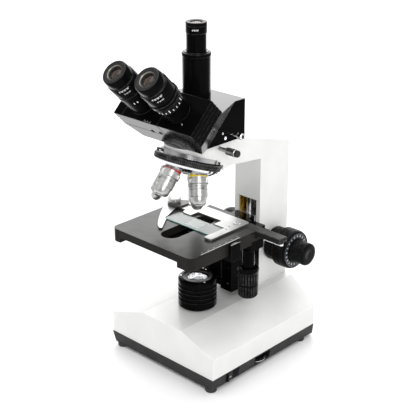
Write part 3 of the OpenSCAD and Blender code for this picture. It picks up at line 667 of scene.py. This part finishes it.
def coarse_knob(node, matrix):
    _, outer, r = reach(node)
    knob_in = outer - 21
    turned(
        node,
        [
            (5.2, knob_in), (r - 1.6, knob_in), (r, knob_in + 1.4), (r, knob_in + 2.2, 1),
            (r, outer - 7.0, 1), (r, outer - 6.2), (r, outer - 4.4), (r - 0.5, outer - 3.6),
            (r - 0.5, outer - 2.4), (r - 1.2, outer - 0.9), (r - 2.2, outer - 0.2), (r - 3.0, outer),
            (r - 3.4, outer - 0.9), (16.3, outer - 0.9), (15.9, outer), (5.2, outer), (5.2, knob_in),
        ],
        PLASTIC, matrix, ribs=72, rib_depth=0.45 * MM, duty=0.62,
    )
    dial_in, dial_out = outer - 0.88, outer - 0.6
    dial = lathe(
        node + "_dial",
        [(16.4, dial_in), (r - 3.5, dial_in), (r - 3.5, dial_out), (16.4, dial_out), (16.4, dial_in)],
        finish_material(
            node + "_dial_grey", (0.012, 0.014, 0.017), (0.02, 0.023, 0.028), (0.28, 0.4),
            grain=4000.0, bump=0.2, depth=0.00003, specular=0.3,
        ),
        matrix,
    )
    on(dial, node)
    ink = (outer - 0.62, outer - 0.5)
    on(radial_ticks(node + "_dial_marks", 20.4, r - 3.7, 100, 0.2, *ink, matrix), node)
    on(radial_ticks(node + "_dial_figures", 17.4, 19.8, 20, 1.7, *ink, matrix @ spin(11), long_every=1), node)


coarse_knob("coarse_knob_right", RIGHT)
coarse_knob("coarse_knob_left", LEFT)
collar_in, collar_out, collar_r = reach("tension_collar")


def collar_points(z0, z1, r):
    return [
        (5.1, z0), (r - 1.2, z0), (r, z0 + 1.0), (r, z0 + 1.6, 1), (r, z1 - 1.6, 1), (r, z1 - 1.0),
        (r - 1.0, z1), (5.1, z1), (5.1, z0),
    ]


COLLAR_RIBS = {"ribs": 40, "rib_depth": 0.7 * MM, "duty": 0.7}
collar = collar_points(collar_in, collar_out, collar_r)
turned("tension_collar", collar, PLASTIC, RIGHT, made="ribbed", **COLLAR_RIBS)
SHIFT = 0.3  # the left collar sits this much further out than the right one
left_points = collar_points(collar_in + SHIFT, collar_out + SHIFT, collar_r)
on(lathe("left_collar_ribbed", left_points, PLASTIC, LEFT, **COLLAR_RIBS), "coarse_knob_left")


def fine_knob(node, matrix):
    inner, outer, r = reach(node)
    turned(
        node,
        [
            (3.1, inner), (r - 1.0, inner), (r, inner + 0.8), (r, inner + 1.6, 1), (r, outer - 3.4, 1),
            (r, outer - 2.6), (r - 0.7, outer - 1.1), (r - 2.2, outer - 0.3), (r - 4.5, outer),
            (r * 0.42, outer), (r * 0.36, outer - 0.35), (0, outer - 0.4),
        ],
        PLASTIC, matrix, ribs=60, rib_depth=0.28 * MM, duty=0.6,
    )


fine_knob("fine_knob_right", RIGHT)
fine_knob("fine_knob_left", LEFT)

softened("focus_carriage", 0.5 * MM, STEEL)
softened("focus_bracket", 0.9 * MM, PAINT, segments=3)
softened("stage_base", 0.7 * MM, PAINT, segments=3)
bracket_low, bracket_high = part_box("focus_bracket")
inset = bracket_high.x / MM - 5.5
for k, (x, z) in enumerate(((inset, 10.0), (-inset, 10.0), (inset, 32.0), (-inset, 32.0))):
    m = axis_frame((x * MM, bracket_low.y, bracket_low.z + z * MM), (0, -1, 0))
    screw_head(f"bracket_set_screw_{k + 1}", m, 1.9, 0.25, CHROME, "lift")

# -------------------- stage

softened("stage_plate", 1.1 * MM, STAGE, segments=4)
softened("drive_block", 0.9 * MM, PAINT, segments=3)
stage_low, stage_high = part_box("stage_plate")
stage_top = stage_high.z / MM
INK = 0.05  # how far printed marks stand up, in millimetres
line_x = stage_high.x / MM - 1.4
scale_start = stage_low.y / MM + 22.3


def mark(bm, x0, x1, y0, y1, z=stage_top, ink=INK):
    """A printed mark lying flat at height z, in millimetres."""
    add_box(bm, (x0, y0, z), (x1, y1, z + ink))


scale = bmesh.new()
for k in range(7):
    y = scale_start + 10.0 * k
    mark(scale, line_x - 3.6, line_x - 2.0, y - 0.3, y + 0.3)
    for minor in range(1, 10) if k < 6 else ():
        mark(scale, line_x - 0.9, line_x - 0.2, y + minor - 0.09, y + minor + 0.09)
mark(scale, line_x - 0.2, line_x + 0.35, scale_start - 5.2, scale_start + 60.8)
on(to_object(scale, "stage_scale_marks", MARKING), "stage_plate")
vernier = bmesh.new()
vernier_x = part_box("stage_base")[1].x / MM
vernier_z = stage_top - 1.8
for k in range(11):
    y = -13.5 + k * 0.9
    mark(vernier, vernier_x - 3.6, vernier_x - (1.6 if k % 5 else 0.9), y, y + 0.2, vernier_z, 0.06)
mark(vernier, vernier_x - 0.5, vernier_x - 0.1, -16.8, -1.2, vernier_z, 0.06)
on(to_object(vernier, "vernier_marks", MARKING), "stage_base")

coax = centre("stage_x_knob")
COAX = axis_frame((coax.x, coax.y, 0), (0, 0, 1))
COAX_RIBS = {"ribs": 22, "rib_depth": 0.75 * MM, "duty": 0.78}


def upright(node):
    """The lowest and highest z and the radius of a node turned about Z, in millimetres."""
    low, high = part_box(node)
    return low.z / MM, high.z / MM, (high.x - low.x) / 2 / MM


y0, y_top, ry = upright("stage_y_knob")
x0, x_top, rx = upright("stage_x_knob")
turned(
    "stage_y_knob",
    [
        (3.05, y0), (ry - 1.9, y0), (ry - 0.9, y0 + 0.8), (ry - 0.9, y0 + 1.2, 1), (ry - 0.9, y0 + 15.2, 1),
        (ry - 0.9, y0 + 15.8), (ry, y0 + 17.2), (ry, y0 + 19.6), (ry - 0.7, y0 + 21.6), (ry - 1.6, y0 + 21.6),
        (ry - 2.2, y0 + 20.4), (7.4, y0 + 17.5), (6.0, y0 + 17.5), (6.0, y_top), (3.05, y_top), (3.05, y0),
    ],
    TURNED_BLACK, COAX, **COAX_RIBS,
)
turned(
    "stage_x_knob",
    [
        (0, x0), (rx - 3.4, x0), (rx - 1.6, x0 + 0.6), (rx - 0.6, x0 + 1.8), (rx, x0 + 2.8),
        (rx, x0 + 3.2, 1), (rx, x0 + 15.6, 1), (rx, x0 + 16.2), (rx - 0.9, x0 + 17.3), (3.0, x0 + 17.3),
        (3.0, x_top - 2.1), (4.1, x_top - 2.1), (4.1, x_top), (0, x_top),
    ],
    TURNED_BLACK, COAX, **COAX_RIBS,
)

softened("carriage_bar", 0.8 * MM, BAR, segments=3)
softened("carriage_rack", 0.25 * MM, CHROME)
HOLDER_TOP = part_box("slide_holder")[1].z - 2.3 * MM  # the plate's top; the finger's lug stands above it
split = HOLDER_TOP + 0.05 * MM
softened("slide_holder", 0.35 * MM, NICKEL, segments=3, keep=lambda spot: spot.z < split)
# the lug's rounded edges take that darker colour: painted shade
softened("slide_holder", 0.25 * MM, LUG_GREY, keep=lambda spot: spot.z >= split, part="lug")
softened("slide_finger", 0.3 * MM, NICKEL, segments=3)
pivot = centre("finger_screw")
screw_foot, knob_top, head_r = upright("finger_screw")
turned(
    "finger_screw",
    [
        (0, screw_foot), (2.5, screw_foot), (2.5, knob_top - 8.6), (6.2, knob_top - 8.6),
        (6.2, knob_top - 6.8), (head_r - 0.7, knob_top - 6.8), (head_r, knob_top - 6.1),
        (head_r, knob_top - 3.3), (head_r - 0.3, knob_top - 2.7), (head_r - 1.0, knob_top - 2.2),
        (head_r - 2.4, knob_top - 1.5), (head_r - 4.7, knob_top - 0.6), (0, knob_top - 0.05),
    ],
    FINGER_KNOB, axis_frame((pivot.x, pivot.y, 0), (0, 0, 1)),
)
HOLDER_DETAILS = ((39, 25.5, True), (43, 28.5, True), (39.3, 14, False), (41.5, 6.5, False), (-42, 31, True))
# PIT is a black disc standing for a dimple in the plate: painted shade
PIT = [(0, -0.2), (1.1, -0.2), (1.1, 0.03), (0, 0.03)]
for k, (x, y, is_screw) in enumerate(HOLDER_DETAILS):
    m = axis_frame((x * MM, y * MM, HOLDER_TOP), (0, 0, 1))
    if is_screw:
        screw_head(f"holder_screw_{k + 1}", m, 2.1, 1.6, CHROME, "slide_carriage")
    else:
        on(lathe(f"holder_dimple_{k + 1}", PIT, DARK, m, segments=24), "slide_holder")

# specimen slide: clear glass, greenish edges, a frosted label end, a cover slip and its specimen
s_low, s_high = (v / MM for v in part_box("specimen_slide"))
glass_top = s_high.z - 0.2
slide_mesh = bmesh.new()
add_box(slide_mesh, s_low, (s_high.x, s_high.y, glass_top), chamfer=0.5)
slide_mesh.normal_update()
for f in slide_mesh.faces:
    f.material_index = 1 if abs(f.normal.z) < 0.5 else 0
slide_glass = to_object(slide_mesh, "slide_glass_plate", [SLIDE_GLASS, SLIDE_EDGE])
bevel(slide_glass, 0.12 * MM, 1)
rides_for(slide_glass, "specimen_slide")
cover = bmesh.new()
add_box(cover, (-8, -14, glass_top + 0.03), (14, 4, glass_top + 0.19), chamfer=0.2)
on(to_object(cover, "cover_slip", COVER_GLASS), "specimen_slide")
label = bmesh.new()
label_low = (s_high.x - 20, s_low.y + 0.3, glass_top + 0.005)
label_high = (s_high.x - 0.5, s_high.y - 0.3, glass_top + 0.05)
add_box(label, label_low, label_high, chamfer=0.4)
on(to_object(label, "frosted_label", FROSTED), "specimen_slide")
sample = bmesh.new()
points = []
for i in range(40):
    a = 2 * math.pi * i / 40
    r = 5.2 + 0.9 * math.sin(3 * a + 0.6) + 0.5 * math.sin(7 * a)
    spot = Vector((3 + r * math.cos(a), -5 + r * 0.8 * math.sin(a), glass_top + 0.02))
    points.append(sample.verts.new(spot * MM))
sample.faces.new(points)
on(to_object(sample, "stained_section", SPECIMEN), "specimen_slide")

# -------------------- condenser

softened("condenser_carrier", 0.6 * MM, PAINT, segments=3)
softened("condenser_body", 0.5 * MM, TURNED_BLACK, segments=3)
softened("iris_lever", 0.3 * MM, CHROME)
softened("filter_holder", 0.4 * MM, PAINT)
filter_glass = lathe(
    "blue_filter",
    [(0, 0.05), (16.2, 0.05), (16.3, 0.15), (16.3, 1.5), (16.1, 1.65), (0, 1.65)],
    FILTER_BLUE, axis_frame((0, 0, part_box("filter_holder")[0].z + 1.0 * MM), (0, 0, 1)),
)
on(filter_glass, "filter_holder")
_, k_out, kr = reach("condenser_knob")
knob_centre = centre("condenser_knob")
turned(
    "condenser_knob",
    [
        (0, -5), (4.4, -5), (4.4, k_out - 19), (kr - 1, k_out - 19), (kr, k_out - 18.2),
        (kr, k_out - 17.6, 1), (kr, k_out - 2.6, 1), (kr, k_out - 2.0), (kr - 0.8, k_out - 0.7),
        (kr - 2.5, k_out), (0, k_out),
    ],
    PLASTIC, axis_frame((0, knob_centre.y, knob_centre.z), (-1, 0, 0), (0, 0, 1)),
    ribs=44, rib_depth=0.4 * MM, duty=0.65,
)

# -------------------- nosepiece and objectives

nose = JOINTS["nosepiece"]
NOSE = axis_frame(nose["pos_m"], nose["axis"])
softened("nosepiece_turret", 0.5 * MM, CHROME, segments=3)
# the mount's darkened chrome is a painted reflection of the black head
softened("nosepiece_mount", 0.6 * MM, DARK_CHROME, segments=3)
RING_R, RING_BORE, RING_HALF = 40.0, 33.95, 3.5
# the knurl's crests take the light edge colour: painted highlight along the ribs
turned(
    "nosepiece_ring",
    [
        (RING_BORE, -RING_HALF), (RING_R - 1.2, -RING_HALF), (RING_R - 0.5, -2.9), (RING_R, -2.6, 1),
        (RING_R, -1.1, 1), (RING_R - 0.9, -0.8), (RING_R - 0.9, -0.5), (RING_R, -0.2, 1), (RING_R, 2.4, 1),
        (RING_R - 0.5, 2.9), (RING_R - 1.2, RING_HALF), (RING_BORE, RING_HALF), (RING_BORE, -RING_HALF),
    ],
    KNURL_BLACK, NOSE, made="knurled", ribs=112, rib_depth=0.7 * MM, duty=0.5,
)
clip = bmesh.new()  # a click spring: a flat strap, a leg and a small block on top
add_box(clip, (-6.0, -37.8, 6.4), (6.0, -31.0, 7.6), chamfer=1.2)
add_box(clip, (-6.0, -37.8, 4.0), (6.0, -36.8, 7.0))
add_box(clip, (-1.6, -33.6, 7.6), (1.6, -30.4, 9.2))
for k, turn in enumerate((-36, 128)):
    place = NOSE @ spin(turn)
    spring = to_object(clip.copy(), f"click_spring_{k + 1}", DARK, place)
    bevel(spring, 0.25 * MM, 2)
    on(spring, "nosepiece_mount")
clip.free()

OBJECTIVES = {
    # node: (azimuth on the turret, length below the ring's middle, tip radius, colour band)
    "objective_4x": (180.0, 46.0, 7.6, RED),
    "objective_10x": (270.0, 48.0, 7.4, YELLOW),
    "objective_40x": (0.0, 59.2, 5.6, BLUE),
    "objective_100x": (90.0, 59.2, 4.6, WHITE_BAND),
}
TILT = math.acos(Vector(nose["axis"]).normalized().z)
SEAT_CIRCLE_R = 16.5  # how far from the turret's axis the objectives are seated, in millimetres
COLLAR_R, BARREL_R = 11.75, 10.4
for node, (azimuth, tip, tip_r, band) in OBJECTIVES.items():
    place = (
        NOSE
        @ spin(azimuth)
        @ Matrix.Translation((0, SEAT_CIRCLE_R * MM, 0))
        @ Matrix.Rotation(TILT, 4, "X")
        @ Matrix.Rotation(math.pi, 4, "X")
    )
    turned(
        node,
        [
            (7.6, 11.0), (9.6, 11.0), (9.6, 12.0), (BARREL_R, 12.3), (BARREL_R, 13.0), (BARREL_R, 15.2),
            (10.15, 15.3), (10.15, 15.8), (BARREL_R, 15.9), (BARREL_R, 17.0), (COLLAR_R, 17.5),
            (COLLAR_R, 18.0, 1), (COLLAR_R, 22.4, 1), (COLLAR_R, 23.0), (BARREL_R, 24.0),
            (BARREL_R, tip - 16.4), (10.2, tip - 16.2), (10.2, tip - 15.8), (BARREL_R, tip - 15.6),
            (BARREL_R, tip - 10.2), (10.0, tip - 9.9), (9.5, tip - 9.7), (tip_r + 1.6, tip - 6.4),
            (tip_r + 1.3, tip - 2.6), (tip_r, tip - 0.9), (tip_r - 0.5, tip - 0.3), (tip_r - 1.2, tip),
            (tip_r - 2.4, tip), (tip_r - 2.7, tip - 0.8), (2.2, tip - 1.3), (1.8, tip - 2.2), (0, tip - 2.2),
        ],
        [SATIN_CHROME, DARK], place, ribs=48, rib_depth=0.35 * MM, duty=0.6, paint={29: 1, 30: 1},
    )
    on(ring_bands(node + "_colour_band", 10.5, [(12.6, 15.3)], band, place), node)
    on(ring_bands(node + "_seat_line", 9.75, [(11.1, 12.0)], BRASS, place), node)
    lines = [(26.2, 26.5), (tip - 18.4, tip - 18.1)]
    on(ring_bands(node + "_engraved_lines", 10.46, lines, DARK, place), node)
    marks = bmesh.new()
    for turn in (-62, 118):
        for k, (start, length) in enumerate(((27.6, 1.6), (28.0, 2.6), (27.6, 1.6), (28.4, 1.2))):
            y = -2.6 + 1.6 * k
            add_box(marks, (10.3, y, start), (10.45, y + 0.7, start + length), spin(turn))
    on(to_object(marks, node + "_engraved_marks", DARK, place), node)
    lens_points = [(0, tip - 1.2), (2.0, tip - 1.35), (2.1, tip - 1.6), (0, tip - 1.6)]
    on(lathe(node + "_front_lens", lens_points, LENS, place, segments=32), node)

# -------------------- head

softened("head_body", 0.9 * MM, PAINT, segments=3)
softened("left_tube_block", 0.7 * MM, PAINT, segments=3)
softened("right_tube_block", 0.7 * MM, PAINT, segments=3)

tube_axis = Vector(JOINTS["left_eyepiece"]["axis"]).normalized()
block_low, block_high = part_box("left_tube_block")
EYE_X = JOINTS["diopter"]["pos_m"][0]
BLOCK_THICK, BLOCK_HALF = 22.0, 23.0  # a tube block's thickness, and half its height up the slope
corner = (BLOCK_THICK + BLOCK_HALF) * MM * tube_axis.z  # seen at 45 degrees
PANEL = Vector((EYE_X, block_high.y - corner, block_low.z + corner))  # where the axis leaves the panel
RIGHT_TUBE = axis_frame(PANEL, tube_axis)
LEFT_TUBE = axis_frame((-EYE_X, PANEL.y, PANEL.z), tube_axis)

EYE_R, EYE_BARREL_R = 17.2, 11.6  # an eyepiece's body and the sleeve that goes into its tube
EYE_SLEEVE = 14.0  # that sleeve's length


def eyepiece(node, matrix, w0, w1):
    """An eyepiece from its shoulder w0 to its rim w1: stepped body, flat rim, bright ring and lens."""
    turned(
        node,
        [
            (10.0, w0 - EYE_SLEEVE), (EYE_BARREL_R, w0 - EYE_SLEEVE), (EYE_BARREL_R, w0), (16.4, w0),
            (EYE_R, w0 + 0.9), (EYE_R, w0 + 3.2), (EYE_R, w1 - 12.6), (16.9, w1 - 12.0), (16.3, w1 - 11.8),
            (16.25, w1 - 10.9), (16.5, w1 - 10.5), (15.6, w1 - 1.4), (14.8, w1 - 0.4), (14.2, w1),
            (13.4, w1 - 0.05), (13.2, w1 - 0.5), (12.4, w1 - 0.5), (12.2, w1 - 0.15), (10.0, w1 - 0.5),
            (9.7, w1 - 0.9), (9.5, w1 - 0.8), (8.8, w1 - 1.9), (7.8, w1 - 2.6), (7.4, w1 - 5.0),
            (0, w1 - 5.2),
        ],
        [TURNED_BLACK, RIM_GREY, BRIGHT_RING, DARK], matrix, segments=128,
        paint={**{k: 1 for k in range(12, 19)}, 19: 3, 20: 2, 21: 3, 22: 3, 23: 3},
    )
    lens_points = [
        (0, w1 - 3.0), (3.0, w1 - 3.15), (5.6, w1 - 3.6), (7.5, w1 - 4.2), (7.5, w1 - 4.9), (0, w1 - 4.9),
    ]
    on(lathe(node + "_eye_lens", lens_points, AMBER_LENS, matrix, segments=64), node)
    on(strokes(node + "_marks", EYE_R, w0 + 13.8, 2.6, 11, -42.0, matrix, wide=0.55, step=1.2), node)
    on(strokes(node + "_small_marks", EYE_R, w0 + 8.4, 1.7, 8, -38.0, matrix, wide=0.45, step=1.1), node)


def shoulder_of(node):
    """How far above the panel an eyepiece's shoulder sits, read from its lowest point."""
    low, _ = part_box(node)
    across = tube_axis.cross(Vector((1, 0, 0))).normalized()
    lowest = (low.z - PANEL.z) / MM
    return (lowest + EYE_BARREL_R * abs(across.z)) / tube_axis.z + EYE_SLEEVE


LEFT_SHOULDER = shoulder_of("left_eyepiece")
RIGHT_SHOULDER = shoulder_of("right_eyepiece")
eyepiece("left_eyepiece", LEFT_TUBE, LEFT_SHOULDER, LEFT_SHOULDER + 29.3)
eyepiece("right_eyepiece", RIGHT_TUBE, RIGHT_SHOULDER, RIGHT_SHOULDER + 30.0)

FOOT = 3.0  # both sleeves start this far above the panel
bore, foot, top = 14.05, 15.6, RIGHT_SHOULDER - 1.1
diopter_points = [  # a slimmer foot, a ribbed band and a flange under the eyepiece
    (bore, FOOT), (foot, FOOT), (foot, top - 16.0), (foot + 0.7, top - 15.0), (foot + 0.9, top - 14.6, 1),
    (foot + 0.9, top - 7.4, 1), (foot + 0.9, top - 7.0), (foot + 0.2, top - 6.6), (foot + 0.2, top - 5.6),
    (17.5, top - 5.0), (18.1, top - 4.4), (18.1, top - 0.7), (17.5, top), (bore, top), (bore, FOOT),
]
turned(
    "diopter_ring", diopter_points, TURNED_BLACK, RIGHT_TUBE, made="ribbed",
    ribs=44, rib_depth=0.8 * MM, duty=0.6,
)
ticks = barrel_ticks("diopter_marks", 16.5, top - 13.6, top - 9.4, 9, 0.9, RIGHT_TUBE, 4, (-112, 20))
on(ticks, "diopter_ring")
top = LEFT_SHOULDER - 0.9
left_sleeve = lathe(
    "left_tube_sleeve",
    [
        (16.5, FOOT), (16.75, FOOT), (16.75, top - 5.2), (17.3, top - 4.6), (17.3, top - 0.6),
        (16.8, top), (16.5, top), (16.5, FOOT),
    ],
    TURNED_BLACK, LEFT_TUBE,
)
on(left_sleeve, "left_tube_block")
ticks = barrel_ticks("left_tube_marks", 16.76, top - 11.6, top - 9.0, 2, 1.2, LEFT_TUBE, 1, (-52, -38))
on(ticks, "left_tube_block")
index = bmesh.new()
add_box(index, (17.6, -0.35, 0.0), (20.4, 0.35, 0.07), spin(-42))
on(to_object(index, "diopter_index", SILVER_MARK, RIGHT_TUBE), "right_tube_block")
spacing = bmesh.new()
LINE_FOOT = 0.8 - BLOCK_HALF
for k in range(11):
    x = -2.0 - 1.0 * k
    mark(spacing, x - 0.12, x + 0.12, LINE_FOOT, LINE_FOOT + (1.3 if k % 5 else 2.4), 0.0, 0.06)
PANEL_MID = axis_frame((0, PANEL.y, PANEL.z), tube_axis)
on(to_object(spacing, "eye_spacing_marks", SILVER_MARK, PANEL_MID), "left_tube_block")
groove = bmesh.new()
mark(groove, -48.4, -47.8, -BLOCK_HALF - 0.03, BLOCK_HALF + 0.03, -0.2, 0.24)
on(to_object(groove, "left_block_joint_line", DARK, PANEL_MID), "left_tube_block")
UNDER = PANEL_MID @ Matrix.Translation((0, -BLOCK_HALF * MM, 0)) @ spin(90, "X")
for k, (x, w) in enumerate(((-12.2, 20.3), (2.1, 18.5))):
    m = UNDER @ Matrix.Translation((x * MM, -w * MM, 0))
    # each hole is a black disc: painted shade in a screw hole under the head
    hole = [(0, 0.1), (1.4, 0.1), (1.6, 0.4), (2.4, 0.4), (2.4, -0.5), (0, -0.5)]
    on(lathe(f"under_screw_{k + 1}", hole, DARK, m, segments=32), "left_tube_block")

head_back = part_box("head_body")[1].y
SIDE_X = 40.0 * MM  # the right wall below the tapered front
for k, (y, z, r, stands) in enumerate(((5.0, 291.0, 2.1, 0.9), (1.0, 297.5, 1.4, 0.5))):
    m = axis_frame((SIDE_X, y * MM, z * MM), (1, 0, 0))
    screw_head(f"head_side_screw_{k + 1}", m, r, stands, CHROME, "head")
for k, (x, z) in enumerate(((-33, 292), (33, 292), (-33, 324), (33, 324))):
    m = axis_frame((x * MM, head_back, z * MM), (0, 1, 0))
    screw_head(f"head_back_screw_{k + 1}", m, 2.0, 0.02, STEEL, "head")

tz0, tz1, _ = upright("photo_tube")
turned(
    "photo_tube",
    [
        (10.2, tz0), (16.35, tz0), (16.35, tz0 + 1.2), (16.1, tz0 + 1.4), (16.1, tz0 + 1.9),
        (16.35, tz0 + 2.1), (16.35, tz1 - 5.6), (16.95, tz1 - 5.0), (16.95, tz1 - 1.8), (16.5, tz1 - 1.1),
        (14.9, tz1 - 0.9), (14.6, tz1), (11.62, tz1), (11.62, tz0), (10.2, tz0),
    ],
    TURNED_BLACK, UP, segments=128,
)
ez0, ez1, _ = upright("photo_eyepiece")
PHOTO_EYE_R = 12.35
turned(
    "photo_eyepiece",
    [
        (10.0, ez0), (EYE_BARREL_R, ez0), (EYE_BARREL_R, ez0 + 26.0), (12.1, ez0 + 26.4),
        (PHOTO_EYE_R, ez0 + 27.0), (PHOTO_EYE_R, ez0 + 34.5), (12.15, ez0 + 34.7), (12.15, ez0 + 35.2),
        (PHOTO_EYE_R, ez0 + 35.4), (PHOTO_EYE_R, ez1 - 0.6), (11.8, ez1), (8.2, ez1), (6.6, ez1 - 1.0),
        (6.2, ez1 - 1.6), (0, ez1 - 1.6),
    ],
    [TURNED_BLACK, RIM_GREY, DARK], UP, segments=128, paint={10: 1, 11: 1, 12: 2, 13: 2},
)
lens_points = [(0, ez1 - 0.9), (3.5, ez1 - 1.0), (6.3, ez1 - 1.45), (6.3, ez1 - 1.55), (0, ez1 - 1.55)]
on(lathe("photo_eye_lens", lens_points, AMBER_LENS, UP, segments=64), "photo_eyepiece")
photo_marks = strokes("photo_eyepiece_marks", PHOTO_EYE_R, ez0 + 31.0, 2.0, 8, -50.0, UP, step=1.0)
on(photo_marks, "photo_eyepiece")


def across(node):
    """A frame along +X through a node's middle, and the ends of the node along it in millimetres."""
    low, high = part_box(node)
    middle = (low + high) / 2
    return axis_frame((0, middle.y, middle.z), (1, 0, 0), (0, 0, 1)), low.x / MM, high.x / MM


rod_frame, rx0, rx1 = across("light_path_rod")
turned(
    "light_path_rod",
    [
        (0, rx0), (1.8, rx0), (1.8, rx1 - 7), (3.2, rx1 - 7), (3.7, rx1 - 6.4), (3.7, rx1 - 6.0, 1),
        (3.7, rx1 - 1.6, 1), (3.7, rx1 - 1.2), (3.1, rx1 - 0.4), (2.3, rx1), (0, rx1),
    ],
    [CHROME, DARK], rod_frame, ribs=30, rib_depth=0.25 * MM, duty=0.6, paint={9: 1},
)
clamp_frame, q0, q1 = across("head_clamp_screw")
turned(
    "head_clamp_screw",
    [
        (0, q0), (1.8, q0), (1.8, q0 + 3), (2.5, q0 + 3.4), (2.5, q0 + 22), (3.9, q0 + 22), (4.5, q0 + 22.8),
        (4.5, q0 + 23.4, 1), (4.5, q1 - 5.0, 1), (4.5, q1 - 4.4), (4.1, q1 - 3.9), (4.1, q1 - 0.8),
        (3.5, q1), (0, q1),
    ],
    [NICKEL, DARK], clamp_frame, ribs=34, rib_depth=0.35 * MM, duty=0.6, paint={10: 1, 11: 1, 12: 1},
)

# -------------------- studio

floor_mesh = bmesh.new()
FLOOR_HALF = 8.0
corners = [(x * FLOOR_HALF, y * FLOOR_HALF, 0) for x, y in ((-1, -1), (1, -1), (1, 1), (-1, 1))]
floor_mesh.faces.new([floor_mesh.verts.new(v) for v in corners])
floor_material = finish_material(
    "studio_floor", (0.86, 0.86, 0.86), (0.84, 0.84, 0.84), (0.7, 0.8),
    grain=40.0, bump=0.0, blotch=2.0, specular=0.1,
)
floor = to_object(floor_mesh, "floor", floor_material)

world = bpy.context.scene.world or bpy.data.worlds.new("studio")
bpy.context.scene.world = world
world.use_nodes = True
sky = world.node_tree
background = sky.nodes["Background"]
background.inputs["Strength"].default_value = 1.0
direction = sky.nodes.new("ShaderNodeTexCoord").outputs["Generated"]
facing = sky.nodes.new("ShaderNodeVectorMath")
facing.operation = "DOT_PRODUCT"
facing.inputs[1].default_value = Vector((0.72, -0.69, 0.1)).normalized()
sky.links.new(direction, facing.inputs[0])
shade = sky.nodes.new("ShaderNodeValToRGB")
shade.color_ramp.elements[0].position = 0.35
shade.color_ramp.elements[0].color = (0.85, 0.85, 0.85, 1.0)
shade.color_ramp.elements[1].position = 0.75
shade.color_ramp.elements[1].color = (0.64, 0.64, 0.64, 1.0)
dark_side = shade.color_ramp.elements.new(0.95)
dark_side.color = (0.1, 0.1, 0.1, 1.0)
span = sky.nodes.new("ShaderNodeMapRange")
span.inputs["From Min"].default_value = -1.0
span.inputs["From Max"].default_value = 1.0
sky.links.new(facing.outputs["Value"], span.inputs["Value"])
sky.links.new(span.outputs["Result"], shade.inputs["Fac"])
sky.links.new(shade.outputs["Color"], background.inputs["Color"])


def area_light(name, location, target, size_m, watts):
    data = bpy.data.lights.new(name, "AREA")
    data.shape = "RECTANGLE"
    data.size, data.size_y = size_m
    data.energy = watts
    light = bpy.data.objects.new(name, data)
    light.location = location
    light.rotation_euler = (Vector(target) - Vector(location)).to_track_quat("-Z", "Y").to_euler()
    bpy.context.scene.collection.objects.link(light)


CENTRE = (0.0, 0.02, 0.2)
area_light("top", (0.1, 0.0, 2.1), CENTRE, (2.6, 2.6), 27)
area_light("back_grazing", (-1.3, 1.45, 1.0), CENTRE, (1.5, 0.9), 8)
area_light("left_front", (-0.5, -1.5, 1.15), CENTRE, (1.4, 1.0), 2.5)
area_light("backdrop", (-1.9, 1.9, 2.6), (-1.6, 1.6, 0.0), (2.4, 2.4), 60)
area_light("right_front", (1.4, -0.95, 1.1), CENTRE, (0.9, 0.9), 18)

camera_data = bpy.data.cameras.new("camera")
camera_data.sensor_width = 36.0
camera_data.lens = 87.3
AZIMUTH, ELEVATION, DISTANCE = math.radians(43.57), math.radians(22.78), 1.2266
look_at = Vector((-0.002, 0.021, 0.1877))
camera = bpy.data.objects.new("camera", camera_data)
camera.location = look_at + DISTANCE * Vector(
    (math.sin(AZIMUTH) * math.cos(ELEVATION), -math.cos(AZIMUTH) * math.cos(ELEVATION), math.sin(ELEVATION))
)
camera.rotation_euler = (look_at - camera.location).to_track_quat("-Z", "Y").to_euler()
bpy.context.scene.collection.objects.link(camera)
bpy.context.scene.camera = camera

view = bpy.context.scene.view_settings
view.view_transform = "Standard"

bpy.context.view_layer.update()
